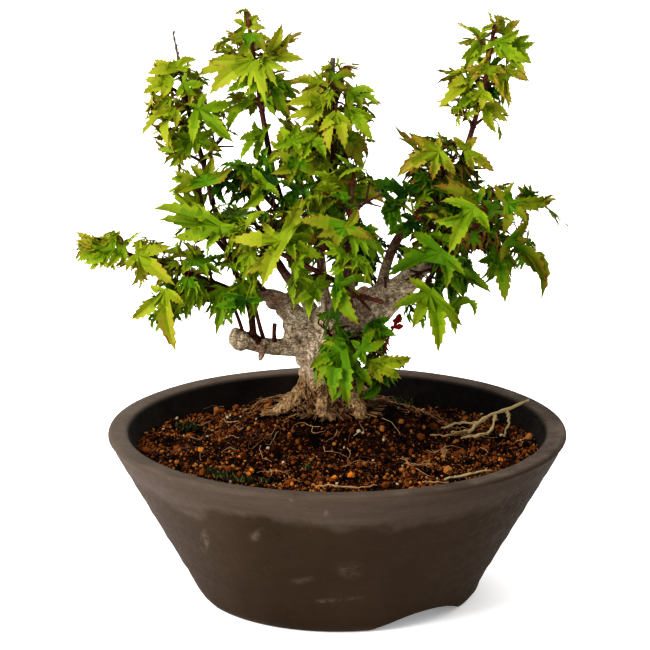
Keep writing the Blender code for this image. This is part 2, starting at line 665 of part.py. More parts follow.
class Foliage:
    """Grows one mass: leaf pairs that turn a quarter at each joint of its stem and of the twigs on it."""

    def __init__(self, name, spaces, built, other_stems):
        self.name = name
        self.mass = MASSES[name]
        self.spaces = spaces
        self.built = built
        self.others = built + other_stems
        self.shapes = []
        self.stems = []
        self.blades = []
        self.random = random.Random(f"{SEED} {name}")

    def add_stem(self, shape):
        self.shapes.append(shape)
        self.stems.append(BVHTree.FromPolygons(*shape))

    def is_clear(self, grown, fat, shape):
        """Whether a leaf, and a fat copy of it, miss what other masses and this one hold already."""
        tree = BVHTree.FromPolygons(*fat)
        if any(tree.overlap(other) for other in self.others):
            return False
        blade_faces = [f for f in shape[1] if min(f) < grown]
        blade = BVHTree.FromPolygons(shape[0], blade_faces)
        if any(blade.overlap(stem) for stem in self.stems):
            return False
        whole = BVHTree.FromPolygons(*shape)
        return not any(whole.overlap(other) for other in self.blades)

    def leaf(self, place, out, size):
        """A petiole and its blade. The blade turns down, and is tried smaller where it doesn't fit."""
        wobble = Vector([self.random.uniform(-LEAF_WOBBLE, LEAF_WOBBLE) for _ in range(3)])
        droop = LEAF_DROOP[0] + LEAF_DROOP[1] * self.mass.hang
        for scale in LEAF_SCALES:
            length = size * scale
            rise = (out + Vector((0, 0, LEAF_LIFT)) + wobble * 0.5).normalized()
            base = place + rise * length * PETIOLE_SHARE
            forward = (out - Vector((0, 0, droop)) + wobble).normalized()
            _, normal = across(forward, (Vector((0, 0, 1)) + out * 0.3 + wobble).normalized())
            turn = Matrix((forward, normal.cross(forward), normal)).transposed()
            shape = leaf_shape(length, turn, base, place + rise * 0.1 * MM)
            fat_root = place + rise * TWIG_R
            fat = leaf_shape(length * 1.04, turn, base, fat_root, 3 * LEAF_THICKNESS, 2 * PETIOLE_R)
            grown = len(blade_rim(length)) + 2
            rim = [(a + b) / 2 for a, b in zip(shape[0][:grown], shape[0][1:grown])]
            if self.spaces.holds(fat[0][:grown] + rim, self.name) and self.is_clear(grown, fat, shape):
                self.shapes.append(shape)
                self.blades.append(BVHTree.FromPolygons(shape[0], [f for f in shape[1] if min(f) < grown]))
                return True
        return False

    def pair(self, place, direction, roll, size, count=2):
        """Leaves that stand out opposite one another. One that doesn't fit is turned a little, then skipped."""
        side, up = across(direction)
        for k in range(count):
            for turn in LEAF_TURNS:
                a = roll + turn + k * math.tau / count
                out = (side * math.cos(a) + up * math.sin(a) + direction * LEAF_AHEAD).normalized()
                if self.leaf(place, out, size * self.random.uniform(*LEAF_SPREAD)):
                    break

    def twig(self, place, direction, length):
        """A side twig with a pair of leaves near its middle and two more at its end."""
        middle_rise, end_rise = (Vector((0, 0, rise * length)) for rise in SIDE_TWIG_RISE)
        end = place + direction * length + end_rise
        path = [place, place.lerp(end, 0.5) + middle_rise, end]
        side_r = TWIG_R * SIDE_TWIG_SHARE
        shape = tube(path, (side_r, side_r * TWIG_TAPER), TWIG_SIDES)
        tree = BVHTree.FromPolygons(*tube(path[1:], (side_r, side_r), TWIG_SIDES, 2 * GAP))
        if not self.spaces.holds(shape[0][TWIG_SIDES:], self.name) or any(map(tree.overlap, self.others)):
            return
        self.add_stem(shape)
        roll = self.random.uniform(0, math.pi)
        size = self.mass.leaf * MM * SIDE_LEAF_SHARE
        self.pair(path[1], direction, roll, size)
        self.pair(end - direction * TIP_SUNK, direction, roll + math.pi / 2, size)

    def grow(self):
        mass = self.mass
        stem = stem_of(self.name)
        length = sum((b - a).length for a, b in zip(stem, stem[1:]))
        self.add_stem(stem_shape(self.name))
        joints = max(3, round(length * (mass.dead_end - mass.bare) / (JOINT_SHARE * mass.leaf * MM)))
        roll = self.random.uniform(0, math.pi)
        for k in range(joints):
            share = mass.bare + (mass.dead_end - mass.bare) * (k + 0.5) / joints
            place, direction = along(stem, share)
            side, up = across(direction)
            size = mass.leaf * MM * (1 - TOP_LEAF_SHARE * share)
            if k % 2 == 0 and k < joints - 1:
                for a in (roll, roll + math.pi):
                    out = (side * math.cos(a) + up * math.sin(a) + direction * SIDE_TWIG_AHEAD).normalized()
                    self.twig(place, out, mass.reach * MM * self.random.uniform(*SIDE_TWIG_RUN))
            self.pair(place, direction, roll + math.pi / 2 * (k % 2 == 0), size)
            roll += math.pi / 2 + self.random.uniform(-ROLL_WOBBLE, ROLL_WOBBLE)
        tip = along(stem, mass.dead_end)[0] - direction * TIP_SUNK
        self.pair(tip, direction, roll, size * 0.8, LAST_LEAVES)
        self.built.extend(BVHTree.FromPolygons(*shape) for shape in self.shapes)


def evaluated_mesh(piece):
    graph = bpy.context.evaluated_depsgraph_get()
    graph.update()
    return bpy.data.meshes.new_from_object(piece.evaluated_get(graph))


def keep_largest_body(mesh):
    """Drops the loose scraps and fills the sealed hollows that fusing leaves."""
    shape = bmesh.new()
    shape.from_mesh(mesh)
    unseen = set(shape.faces)
    bodies = []
    while unseen:
        body = [unseen.pop()]
        for face in body:
            beside = {other for edge in face.edges for other in edge.link_faces} & unseen
            unseen -= beside
            body.extend(beside)
        bodies.append(body)
    bodies.sort(key=len)
    bmesh.ops.delete(shape, geom=[face for body in bodies[:-1] for face in body], context="FACES")
    bmesh.ops.triangulate(shape, faces=shape.faces)
    shape.to_mesh(mesh)
    shape.free()


def fuse(name, shapes, limb, material):
    """One Boolean union on a collection, then the clearance to the limb, both applied."""
    first, *rest = [new_object(f"{name}_{i}", shape) for i, shape in enumerate(shapes)]
    group = bpy.data.collections.new(name + "_pieces")
    bpy.context.scene.collection.children.link(group)
    for piece in rest:
        bpy.context.scene.collection.objects.unlink(piece)
        group.objects.link(piece)
    union = first.modifiers.new("Fuse the leaves and twigs", "BOOLEAN")
    union.operation = "UNION"
    union.operand_type = "COLLECTION"
    union.collection = group
    union.solver = "MANIFOLD"
    trim = first.modifiers.new("Clear the limb", "BOOLEAN")
    trim.operation = "DIFFERENCE"
    trim.object = clearance(limb)
    trim.solver = "MANIFOLD"
    mesh = evaluated_mesh(first)
    keep_largest_body(mesh)
    mesh.name = name
    mesh.materials.clear()
    mesh.materials.append(material)
    for piece in (first, *rest):
        bpy.data.objects.remove(piece)
    bpy.data.collections.remove(group)
    made = bpy.data.objects.new(name, mesh)
    bpy.context.scene.collection.objects.link(made)
    return made


def make_foliage():
    leaf_green = make_material("leaf_green", (0.13, 0.3, 0.02), 0.5)
    spaces = Spaces()
    built = [BVHTree.FromPolygons(*clearance_shape(name)) for name in LIMBS]
    stems = {name: BVHTree.FromPolygons(*stem_shape(name, GAP)) for name in MASSES}
    for name in MASSES:
        foliage = Foliage(name, spaces, built, [stems[other] for other in MASSES if other != name])
        foliage.grow()
        fuse(name, foliage.shapes, MASSES[name].limb, leaf_green)


def main():
    for piece in list(bpy.data.objects):
        bpy.data.objects.remove(piece)
    make_pot()
    make_soil()
    bark = make_material("bark", (0.3, 0.22, 0.15), 0.85)
    make_trunk(bark)
    make_boughs(bark)
    make_foliage()
    for piece in bpy.data.objects:
        if piece.name.endswith("_clearance"):
            piece.hide_render = True
            piece.display_type = "WIRE"


main()
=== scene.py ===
"""Dresses a small potted Japanese maple: thrown clay pot, granular soil, barked limbs, twigs and leaves."""

import math
import random
from typing import NamedTuple

import bpy
import numpy as np
from mathutils import Euler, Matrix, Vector, noise


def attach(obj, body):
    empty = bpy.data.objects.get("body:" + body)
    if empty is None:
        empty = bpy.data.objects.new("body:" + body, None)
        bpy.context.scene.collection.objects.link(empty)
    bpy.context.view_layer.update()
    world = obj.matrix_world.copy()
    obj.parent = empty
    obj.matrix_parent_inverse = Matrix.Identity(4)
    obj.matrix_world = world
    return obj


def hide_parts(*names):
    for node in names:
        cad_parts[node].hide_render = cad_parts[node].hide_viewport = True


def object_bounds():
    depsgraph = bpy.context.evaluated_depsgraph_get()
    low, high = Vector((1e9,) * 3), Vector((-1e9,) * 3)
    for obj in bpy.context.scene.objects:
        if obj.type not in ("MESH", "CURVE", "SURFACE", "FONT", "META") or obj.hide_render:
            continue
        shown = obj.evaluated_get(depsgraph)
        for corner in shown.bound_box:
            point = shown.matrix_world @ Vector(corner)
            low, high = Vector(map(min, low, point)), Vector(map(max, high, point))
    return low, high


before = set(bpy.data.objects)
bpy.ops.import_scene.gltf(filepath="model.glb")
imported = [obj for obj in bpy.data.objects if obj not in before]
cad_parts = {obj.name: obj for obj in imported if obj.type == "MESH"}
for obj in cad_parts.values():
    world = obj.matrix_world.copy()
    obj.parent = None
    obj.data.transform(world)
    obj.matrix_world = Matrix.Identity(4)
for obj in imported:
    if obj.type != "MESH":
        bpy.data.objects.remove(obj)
cad_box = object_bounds()

MM = 0.001
POT_X = 4.6 * MM  # the pot's axis

# Pot
POT_SIDES = 144
POT_HEIGHT = 55 * MM
RIM_R = 75 * MM
LIP_WIDTH = 7 * MM
LIP_ROUND = 1.4 * MM
LIP_CHAMFER = 0.8 * MM
HEEL_R = 48 * MM
HEEL_Z = 6 * MM
FOOT_R = 44 * MM
FOOT_WIDTH = 6.5 * MM
WALL = 6.2 * MM
FLOOR_Z = 12 * MM
UNDERSIDE_Z = 8.3 * MM
DRAIN_R = 6 * MM
# A cone within the wall, between its inside and its outside: radius at the table, and growth per unit of height.
LIP_FOOT = 41.2 * MM
LIP_SLOPE = (RIM_R - 0.5 * LIP_WIDTH - LIP_FOOT) / POT_HEIGHT
ARCHES = 3
FIRST_ARCH_DEG = 37.5  # from the front, towards +X
ARCH_HEIGHT = 5.4 * MM
ARCH_R = 36 * MM
ARCH_SIDES = 120
FOOT_BEVEL = 0.5 * MM
WALL_STEPS = 27  # rings up the wall, round the lip and down the inside
LIP_STEPS = 6
INSIDE_STEPS = 8
THROWING = 0.16 * MM  # the throwing rings' depth
CREASE = -0.28 * MM  # the step back of the ring under the lip
LIP_DEPTH = 3 * MM  # the part that waves up and down
# Unevenness of the thrown clay, in mm, and its scales of noise. All is set back by the inset.
SWELL, SWELL_SCALE = 0.22, 28
SKIN, SKIN_SCALE = 0.05, 260
LIP_WAVE, LIP_WAVE_SCALE = 0.12, 40
POT_INSET = 0.1

# Soil
SOIL_Z = 50.3 * MM
SOIL_FALL = 0.06  # drop per unit of +Y
MOUND_Z = 58.5 * MM
MOUND_CENTRE = (-3 * MM, 12 * MM)
MOUND_FLAT_R = 19 * MM
MOUND_FOOT_R = 42 * MM
LUMP_HEIGHT = 1.3 * MM  # the low waves in the bed, and how far apart they are
LUMP_SPACING = 16 * MM
BED_SIDES = 192
BED_RINGS = 60  # inwards over its top
BED_CLEAR = 0.45 * MM  # between the bed and the pot's inside
BED_HEIGHTS = (16.5 * MM, 48 * MM)  # where the bed leaves its rounded bottom, and where it ends
BED_TOP = 47 * MM  # what lies higher is the bed's top

# Leaves and twigs
TWIG_R = 1.0 * MM
TWIG_TAPER = 0.6
STEM_STEPS = 16
DEAD_STEPS = 24
SPUR_FROM = 8 * MM  # side twigs this long have spurs
INTERLOCK = 0.3  # how far a mass's leaves may reach into another's space, as a share of its reach
SEED = 7


class Limb(NamedTuple):
    """One tapering limb. Points are in millimetres from the pot's axis at the table, x, y, z."""

    points: tuple
    radii: tuple


class Mass(NamedTuple):
    """One mass of leaves: a stem from a place on its limb, the reach of its space and its leaves' length, in mm."""

    limb: str
    start: float  # share of the limb's length
    points: tuple
    reach: float
    leaf: float
    bare: float  # share of the stem before the first leaves
    hang: float  # how far the leaves turn down
    dead_end: float = 1.0  # share of the stem where the leaves stop


LIMBS = {
    "trunk": Limb(
        ((-3, 13, 58.8), (-3.3, 10, 67), (-3.4, 8, 74.7), (-2, 6.5, 82), (3, 5.2, 88.5), (11.5, 3.6, 94.3),
         (19, 2.3, 100), (25.5, 1, 106.2)),
        (10.2, 8.8, 7.9, 9.0, 8.8, 6.8, 4.6, 3.2),
    ),
    "bough_left_low": Limb(((-3, 6.5, 81.5), (-14, 5, 80.6), (-24, 2, 82), (-34, -3, 86.6)), (3.6, 3.1, 2.6, 3.0)),
    "bough_left_high": Limb(
        ((0, 5.5, 86), (-8.5, 4.6, 87.2), (-14, 3.6, 91.5), (-18, 2.4, 96.5), (-23, -0.4, 99.5), (-28.5, -3.4, 99.5)),
        (4.8, 4.6, 4.0, 3.2, 2.2, 1.3),
    ),
    "bough_left_upright": Limb(
        ((-15.8, 3.2, 94.4), (-13.6, 5, 104), (-15, 6, 118), (-21, 6, 140)), (2.0, 1.6, 1.2, 0.8),
    ),
    "bough_left_tall": Limb(((-27, 0.6, 83.6), (-28.6, 0, 96), (-35, 2.4, 112), (-40, 5, 128)), (1.3, 1.1, 1.0, 0.8)),
    "bough_centre": Limb(((-1, 7, 85), (-4, 8.6, 97), (-5.2, 10, 112), (-2.1, 6, 136)), (2.6, 2.0, 1.4, 0.8)),
    "bough_front": Limb(((6, 5, 89), (4, -7, 97), (3, -16, 104), (2, -23, 110)), (2.4, 1.8, 1.4, 1.1)),
    "bough_right": Limb(
        ((24, 1.2, 104.8), (30.8, 0, 110.5), (35.5, -2, 115.5), (39, -4, 120.5)), (2.3, 2.0, 1.5, 1.1),
    ),
    "bough_right_inner": Limb(((13, 3.6, 95), (17, 7, 111), (24, 9, 122), (39, 7, 139)), (2.2, 1.6, 1.3, 0.8)),
    "bough_back_left": Limb(((-4, 7, 84), (-10, 17, 93), (-17, 25, 100), (-22, 31, 107)), (2.8, 2.1, 1.6, 1.1)),
    "bough_back": Limb(((3, 6, 89), (4, 17, 98), (5, 26, 107), (5, 31, 115)), (2.6, 2.0, 1.5, 1.1)),
    "bough_back_right": Limb(((17, 2.8, 98), (22, 12, 103), (28, 21, 108), (33, 27, 115)), (2.2, 1.8, 1.4, 1.1)),
}

MASSES = {
    "first_top": Mass(
        "bough_left_tall", 1.0, ((-43, 7, 141), (-47.5, 9, 157), (-52.6, 12, 183)), 18, 14.5, 0.2, 0.1, 0.78,
    ),
    "second_top": Mass(
        "bough_left_upright", 1.0, ((-24, 7, 157), (-26.5, 8, 174), (-28.8, 9, 190)), 20, 16.5, 0.3, 0.1,
    ),
    "centre_top": Mass("bough_centre", 1.0, ((-1, 4.6, 149), (-1, 3, 162), (-1.6, 2, 173)), 21, 16, 0.0, 0.2),
    "right_top": Mass("bough_right_inner", 1.0, ((43, 6, 152), (47, 6, 168), (50, 6, 187)), 17, 14, 0.25, 0.05),
    "right_shoulder": Mass("bough_right_inner", 0.84, ((34, 2, 140), (33, -4, 148)), 20, 18, 0.15, 0.3),
    "left_tip": Mass("bough_left_high", 1.0, ((-42, -6, 106), (-60, -9, 113), (-79, -9, 119)), 14, 12.5, 0.2, 0.15),
    "left_low": Mass(
        "bough_left_high", 0.9, ((-36, -9, 104), (-48, -14, 104), (-56.5, -16, 101.5)), 20, 19, 0.1, 0.8,
    ),
    "left_middle": Mass("bough_left_high", 0.79, ((-29, -5, 108), (-40, -8, 122), (-45, -8, 139)), 22, 19, 0.15, 0.4),
    "inner_left": Mass("bough_left_upright", 0.66, ((-22, -1, 131), (-30, -6, 143)), 20, 18, 0.1, 0.4),
    "centre_left": Mass("bough_centre", 0.75, ((-8, 3, 136), (-13, 1, 151)), 19, 17, 0.1, 0.3),
    "left_front": Mass("bough_front", 0.88, ((-8, -24, 114), (-20, -24, 120), (-30, -21, 124)), 23, 21, 0.15, 0.7),
    "centre_front": Mass("bough_front", 1.0, ((3, -27, 122), (4, -25, 134), (5, -21, 144)), 22, 19, 0.05, 0.5),
    "centre_low": Mass("bough_front", 0.74, ((8, -24, 105), (14, -31, 105)), 20, 19, 0.1, 0.9),
    "front_low": Mass("trunk", 0.47, ((-1, -6, 85), (-2, -16, 84), (-1, -23, 82)), 20, 19, 0.3, 0.9),
    "side_low": Mass("trunk", 0.56, ((10, -7, 85), (14.5, -14, 83), (17.5, -18, 81.5)), 16, 15, 0.3, 0.7),
    "right_low": Mass("bough_right", 0.5, ((30, -9, 108), (27, -15, 105), (25, -19, 102)), 20, 20, 0.1, 1.0),
    "right_inner": Mass("bough_right", 0.84, ((31, -10, 124), (24, -16, 130)), 20, 18, 0.1, 0.5),
    "right_outer": Mass("bough_right", 1.0, ((46, -9, 125), (55, -11, 130), (61, -11, 133)), 21, 18, 0.1, 0.6),
    "right_drop": Mass("bough_right", 0.67, ((48, 2, 117), (55, 2, 117.5), (60, 1, 116)), 19, 17, 0.1, 0.7),
    "back_left_low": Mass("bough_back_left", 1.0, ((-32, 36, 110), (-41, 38, 109)), 22, 19, 0.0, 0.8),
    "back_left_high": Mass("bough_back_left", 0.9, ((-24, 27, 118), (-30, 26, 129)), 21, 18, 0.1, 0.5),
    "back_high": Mass("bough_back", 1.0, ((5, 32, 127), (3, 29, 139)), 21, 18, 0.0, 0.5),
    "back_low": Mass("bough_back", 0.86, ((7, 38, 107), (6, 46, 104)), 22, 19, 0.0, 0.9),
    "back_right_high": Mass("bough_back_right", 1.0, ((36, 28, 124), (37, 26, 132)), 20, 17, 0.0, 0.5),
    "back_right_low": Mass("bough_back_right", 0.86, ((41, 30, 108), (50, 31, 108)), 22, 19, 0.1, 0.9),
}

ROOT_RIDGES = (  # direction in degrees from +X, how far it stands out, and its angular width
    (205, 8.0 * MM, 24), (262, 2.5 * MM, 22), (318, 4.5 * MM, 24), (20, 5.0 * MM, 28), (80, 4.5 * MM, 26),
    (140, 5.5 * MM, 26),
)
FLARE_HEIGHT = 13 * MM
TRUNK_FOOT = 58.8  # the height of the trunk's foot in mm, and about how long the trunk is
TRUNK_LENGTH = 66
FIBRE_TOP = 72 * MM  # how high the foot's fibres reach, and over what height they fade
FIBRE_FADE = 5 * MM
BARK_VOXEL = 0.45 * MM
CRACK_WIDTH = 0.09  # in units of the cracks' noise
CUT_FACE = (7.2, 1.0, 100.6)  # the stub's cut, in mm from the pot's axis

# Pale marks rubbed on the pot's wall: place in mm from the pot's axis, turn, half sizes in mm, and strength.
POT_MARKS = (
    ((-42.5, -45.5, 30.0), (0.3, 0.55, -0.7), (2.2, 3, 9), 0.55),
    ((-52.8, -53.5, 54.0), (0, 0, 0), (0.9, 0.9, 0.7), 1.0),
    ((-14.4, -73.4, 53.2), (0, 0, 0), (1.3, 1.5, 1.0), 0.9),
    ((-3.7, -72.1, 48.6), (0, 0.3, 0), (1.0, 2, 1.9), 0.5),
    ((-25.4, -61.0, 37.8), (0, 0.7, -0.4), (2.2, 3, 7), 0.28),
    ((-2.1, -52.1, 13.4), (0, 1.45, 0), (1.2, 3, 12), 0.3),
    ((-13.0, -56.0, 20.0), (0, 1.2, -0.2), (2.5, 3, 8), 0.22),
    ((4.1, -59.0, 25.7), (0, 0.2, 0), (5, 4, 5), 0.2),
    ((14.0, -69.0, 40.0), (0, 1.4, 0.2), (3.5, 4, 12), 0.2),
    ((52.0, -30.0, 30.0), (0, 1.3, 1.0), (3, 4, 9), 0.25),
    ((30.0, 52.0, 33.0), (0, 0.8, 0.4), (3, 4, 10), 0.35),
    ((-48.0, 38.0, 36.0), (0, 0.4, 0.9), (3, 4, 9), 0.35),
)

# Soil: sizes in mm as (least radius, greatest radius, tries), and colours with their shares.
GRANULE_SIZES = ((1.2, 1.9, 70), (0.85, 1.2, 420), (0.55, 0.85, 2600), (0.3, 0.55, 9000), (0.18, 0.34, 9000))
GRANULE_COLOURS = (
    ("brown", (0.140, 0.045, 0.010), 40),
    ("umber", (0.036, 0.010, 0.003), 20),
    ("tan", (0.26, 0.115, 0.032), 16),
    ("orange", (0.44, 0.16, 0.022), 2.5),
    ("black", (0.003, 0.0015, 0.001), 24),
    ("pumice", (0.38, 0.31, 0.22), 2.6),
)
GRANULES_ONLY = ("orange", "pumice")  # colours that finer crumbs don't have
GRIT_SIZE = 0.34  # crumbs of a class whose greatest radius in mm is within this are grit
COARSE_SIZE = 0.85 * MM  # granules with more faces than crumbs have
APART_SIZE = 0.5 * MM  # granules that lie clear of each other
GRANULES_R = 67.5 * MM  # how far from the pot's axis they lie, and how far from the mound's middle
GRANULES_FROM_TRUNK = 9 * MM
SHADE_AND_DAMP_SHARES = (0.8, 1.25, 0.6, 0.9, 1.9, 0.9)  # how each colour's share changes where the soil is damp, and where the crown's shade is painted on it
LOOSE_STRANDS = 120
LOOSE_STRAND_STEPS = 6
LOOSE_STRAND_SHARES = (5, 5, 1)  # of each of the strands' colours
TRUNK_STRAND_SHARES = (6, 3, 1)
STRANDS_R = 65 * MM  # how far from the pot's axis they lie
TRUNK_STRANDS = 420
TRUNK_STRAND_STEPS = 5
STRAND_TOPS = (61, 71)  # the heights in mm between which those on the trunk begin, and where they meet the soil
STRAND_FOOT = 59.0
MOSS_R = 65.5  # in mm from the pot's axis
STRAND_COLOURS = (
    ("root_tan", (0.25, 0.15, 0.072)), ("root_brown", (0.06, 0.024, 0.010)), ("straw_pale", (0.30, 0.23, 0.12)),
)
DRY_ROOTS = (  # points in mm from the pot's axis, radii in mm, colour
    (((63, 14, 60), (56, 12, 57.5), (48, 8, 55.5), (43, 3, 52.5), (37, 0, 53.5)), (0.4, 0.75, 0.8, 0.6, 0.4), 2),
    (((56, 12, 57.5), (56.5, 10, 54), (55, 8, 49.5)), (0.6, 0.7, 0.5), 2),
    (((46, 6, 54.5), (40, 8, 54), (34, 5, 53)), (0.6, 0.5, 0.3), 2),
    (((52, 9, 56), (50, 2, 53), (46, -4, 53.4), (40, -6, 53.2)), (0.6, 0.6, 0.5, 0.3), 2),
    (((44, 4, 53), (36, -4, 53.4), (30, -5, 54)), (0.5, 0.5, 0.3), 0),
    (((-8, -63, 54.9), (-2, -64.5, 55.2), (6, -64.5, 54.6), (12, -62.5, 54.8)), (0.3, 0.45, 0.45, 0.25), 0),
    (((33, -56, 54.8), (41, -51, 54.8), (48, -45, 54.4)), (0.4, 0.5, 0.3), 2),
    (((26, -57, 54.6), (29, -60, 54.9), (34, -58, 54.6)), (0.3, 0.4, 0.25), 0),
)
MOSS_TUFTS = (
    (-35, -50, 3.5, 60), (-29, -54, 3.0, 45), (-23, -56, 2.0, 20), (-40, -44, 2.5, 24), (-9, -38, 2.0, 16),
    (22, 56, 4.5, 70), (-50, 20, 3.5, 50),
)
MOSS_COLOURS = (("dark", (0.016, 0.020, 0.005)), ("pale", (0.075, 0.072, 0.018)))

LEAF_SHARE = 0.98  # the length of a leaf, for each unit of its mass's leaf
JOINT_SHARE = 0.42  # the space between joints, for each unit of leaf
# Sight lines kept free of leaves towards the front: a place on a limb in mm, and how wide in mm.
OPENINGS = (
    ((-20.9, 4, 89), 4.0), ((-16, 4, 89.5), 5.0), ((-9.5, 3, 87), 5.0), ((-30, 1, 84.5), 4.5), ((-24, 1, 83), 4.5),
    ((-15, 1, 81), 4.0), ((-6.5, 5, 81.5), 3.5), ((-11.5, 10, 73), 2.5), ((7, 2, 96.5), 4.5), ((14, 1, 97.5), 4.0),
    ((20.5, 0, 101.4), 4.5), ((25, 0, 105), 3.0),
)
TO_FRONT = Vector((0, -0.967, 0.255))
LEAF_TURNS = (0, 0.5, -0.5, 1.0, -1.0)  # how a leaf that finds no room is turned round its stem
LEAF_SCALES = (1, 0.8, 0.62)  # and made smaller
LEAF_GROUPS = {
    "leaves_left": ("first_top", "second_top", "left_tip", "left_low", "left_middle", "inner_left"),
    "leaves_centre": (
        "centre_top", "centre_left", "left_front", "centre_front", "centre_low", "front_low", "side_low",
    ),
    "leaves_right": ("right_top", "right_shoulder", "right_low", "right_inner", "right_outer", "right_drop"),
    "leaves_back": ("back_left_low", "back_left_high", "back_high", "back_low", "back_right_high", "back_right_low"),
}
STUBS = (  # cut or broken stubs: points in mm from the pot's axis, radii in mm
    (((11, 3.5, 94), (9.6, 2.6, 97), (7.4, 1.2, 100)), (3.6, 3.2, 2.9)),
    (((-17, 4, 92.5), (-14, 3, 95.6), (-13, 2, 98.8)), (1.8, 1.5, 1.2)),
    (((-24, -1.2, 83), (-24.6, -3, 80), (-25.2, -4, 78.4)), (1.5, 1.1, 0.6)),
    (((-4, 3, 90), (-4.4, 0.5, 95), (-4.2, -1, 99.5)), (1.9, 1.3, 0.9)),
)
KNOBS = (  # swellings: place in mm from the pot's axis, radius in mm
    ((-31.5, -1.8, 84.8), 3.6), ((-27.5, 0.5, 83.8), 2.9), ((-20.5, 2.2, 96.8), 3.0), ((-16.5, 3.4, 93.8), 3.7),
    ((-12.5, 4.2, 90.2), 4.2), ((-14.4, 4.2, 88.4), 3.4), ((-14.2, 4.4, 84.6), 3.4), ((-8.0, 4.8, 86.5), 4.8),
    ((-4.0, 3.5, 91.0), 4.2), ((1.5, 2.6, 90.5), 4.0), ((16.0, 1.4, 98.4), 4.6), ((-3.0, 4.0, 80.0), 4.2),
    ((-10.6, 6.6, 76.4), 3.2), ((-9.6, 7.2, 71.5), 3.0),
)
SHOOTS = (  # bare shoots: points in mm from the pot's axis, radii in mm, kind of skin
    (((-24, 0.5, 85), (-25.5, -1, 91), (-28, -2, 103)), (0.75, 0.65, 0.5), 0),
    (((-30, -1, 85), (-31.5, -3, 91), (-34, -6, 99)), (0.7, 0.6, 0.5), 0),
    (((-20.4, 1.5, 83.5), (-20.5, 1, 86.5), (-20.3, 0.8, 89.6)), (0.8, 0.65, 0.75), 0),
    (((15, 3, 99), (15.5, -1, 103), (15.2, -2, 106)), (0.6, 0.5, 0.4), 0),
    (((21, 1, 99), (25, -2, 98.5), (30, -3, 97)), (0.7, 0.6, 0.4), 0),
    (((-1.5, 2.4, 168), (-1.7, 2, 173), (-1.5, 2, 176.6)), (0.9, 0.9, 0.8), 2),
)
LEAF_CLEAR = 0.5 * MM  # between leaves and the limbs or the soil
PLAIN_LEAVES = 0.3  # the share of leaves whose margin is of the blade's colour
STALK_SHARES = (3, 2)  # of green and red
LEAF_ROOM = 0.2  # how far apart two leaves stand, for each unit of their lengths

# The colours of a conspicuous leaf, from its heart out to its margin and tips.
# sunny paints light on leaves in the open; shaded and dark paint shade on leaves deep in the crown.
LARGE_LEAF_COLOURS = {
    "bronzed": ("leaf", "olive", "olive", "ochre", "bronze"),
    "amber": ("spring", "olive", "straw", "ochre", "ochre"),
    "sunny": ("spring", "lime", "lime", "straw", "ochre"),
    "green": ("fresh", "fresh", "spring", "spring", "straw"),
    "grass": ("leaf", "leaf", "fresh", "olive", "ochre"),
    "shaded": ("deep", "mid", "leaf", "leaf", "olive"),
    "dark": ("deep", "deep", "mid", "mid", "leaf"),
    "scarlet": ("red", "red", "red", "bronze", "bronze"),
}
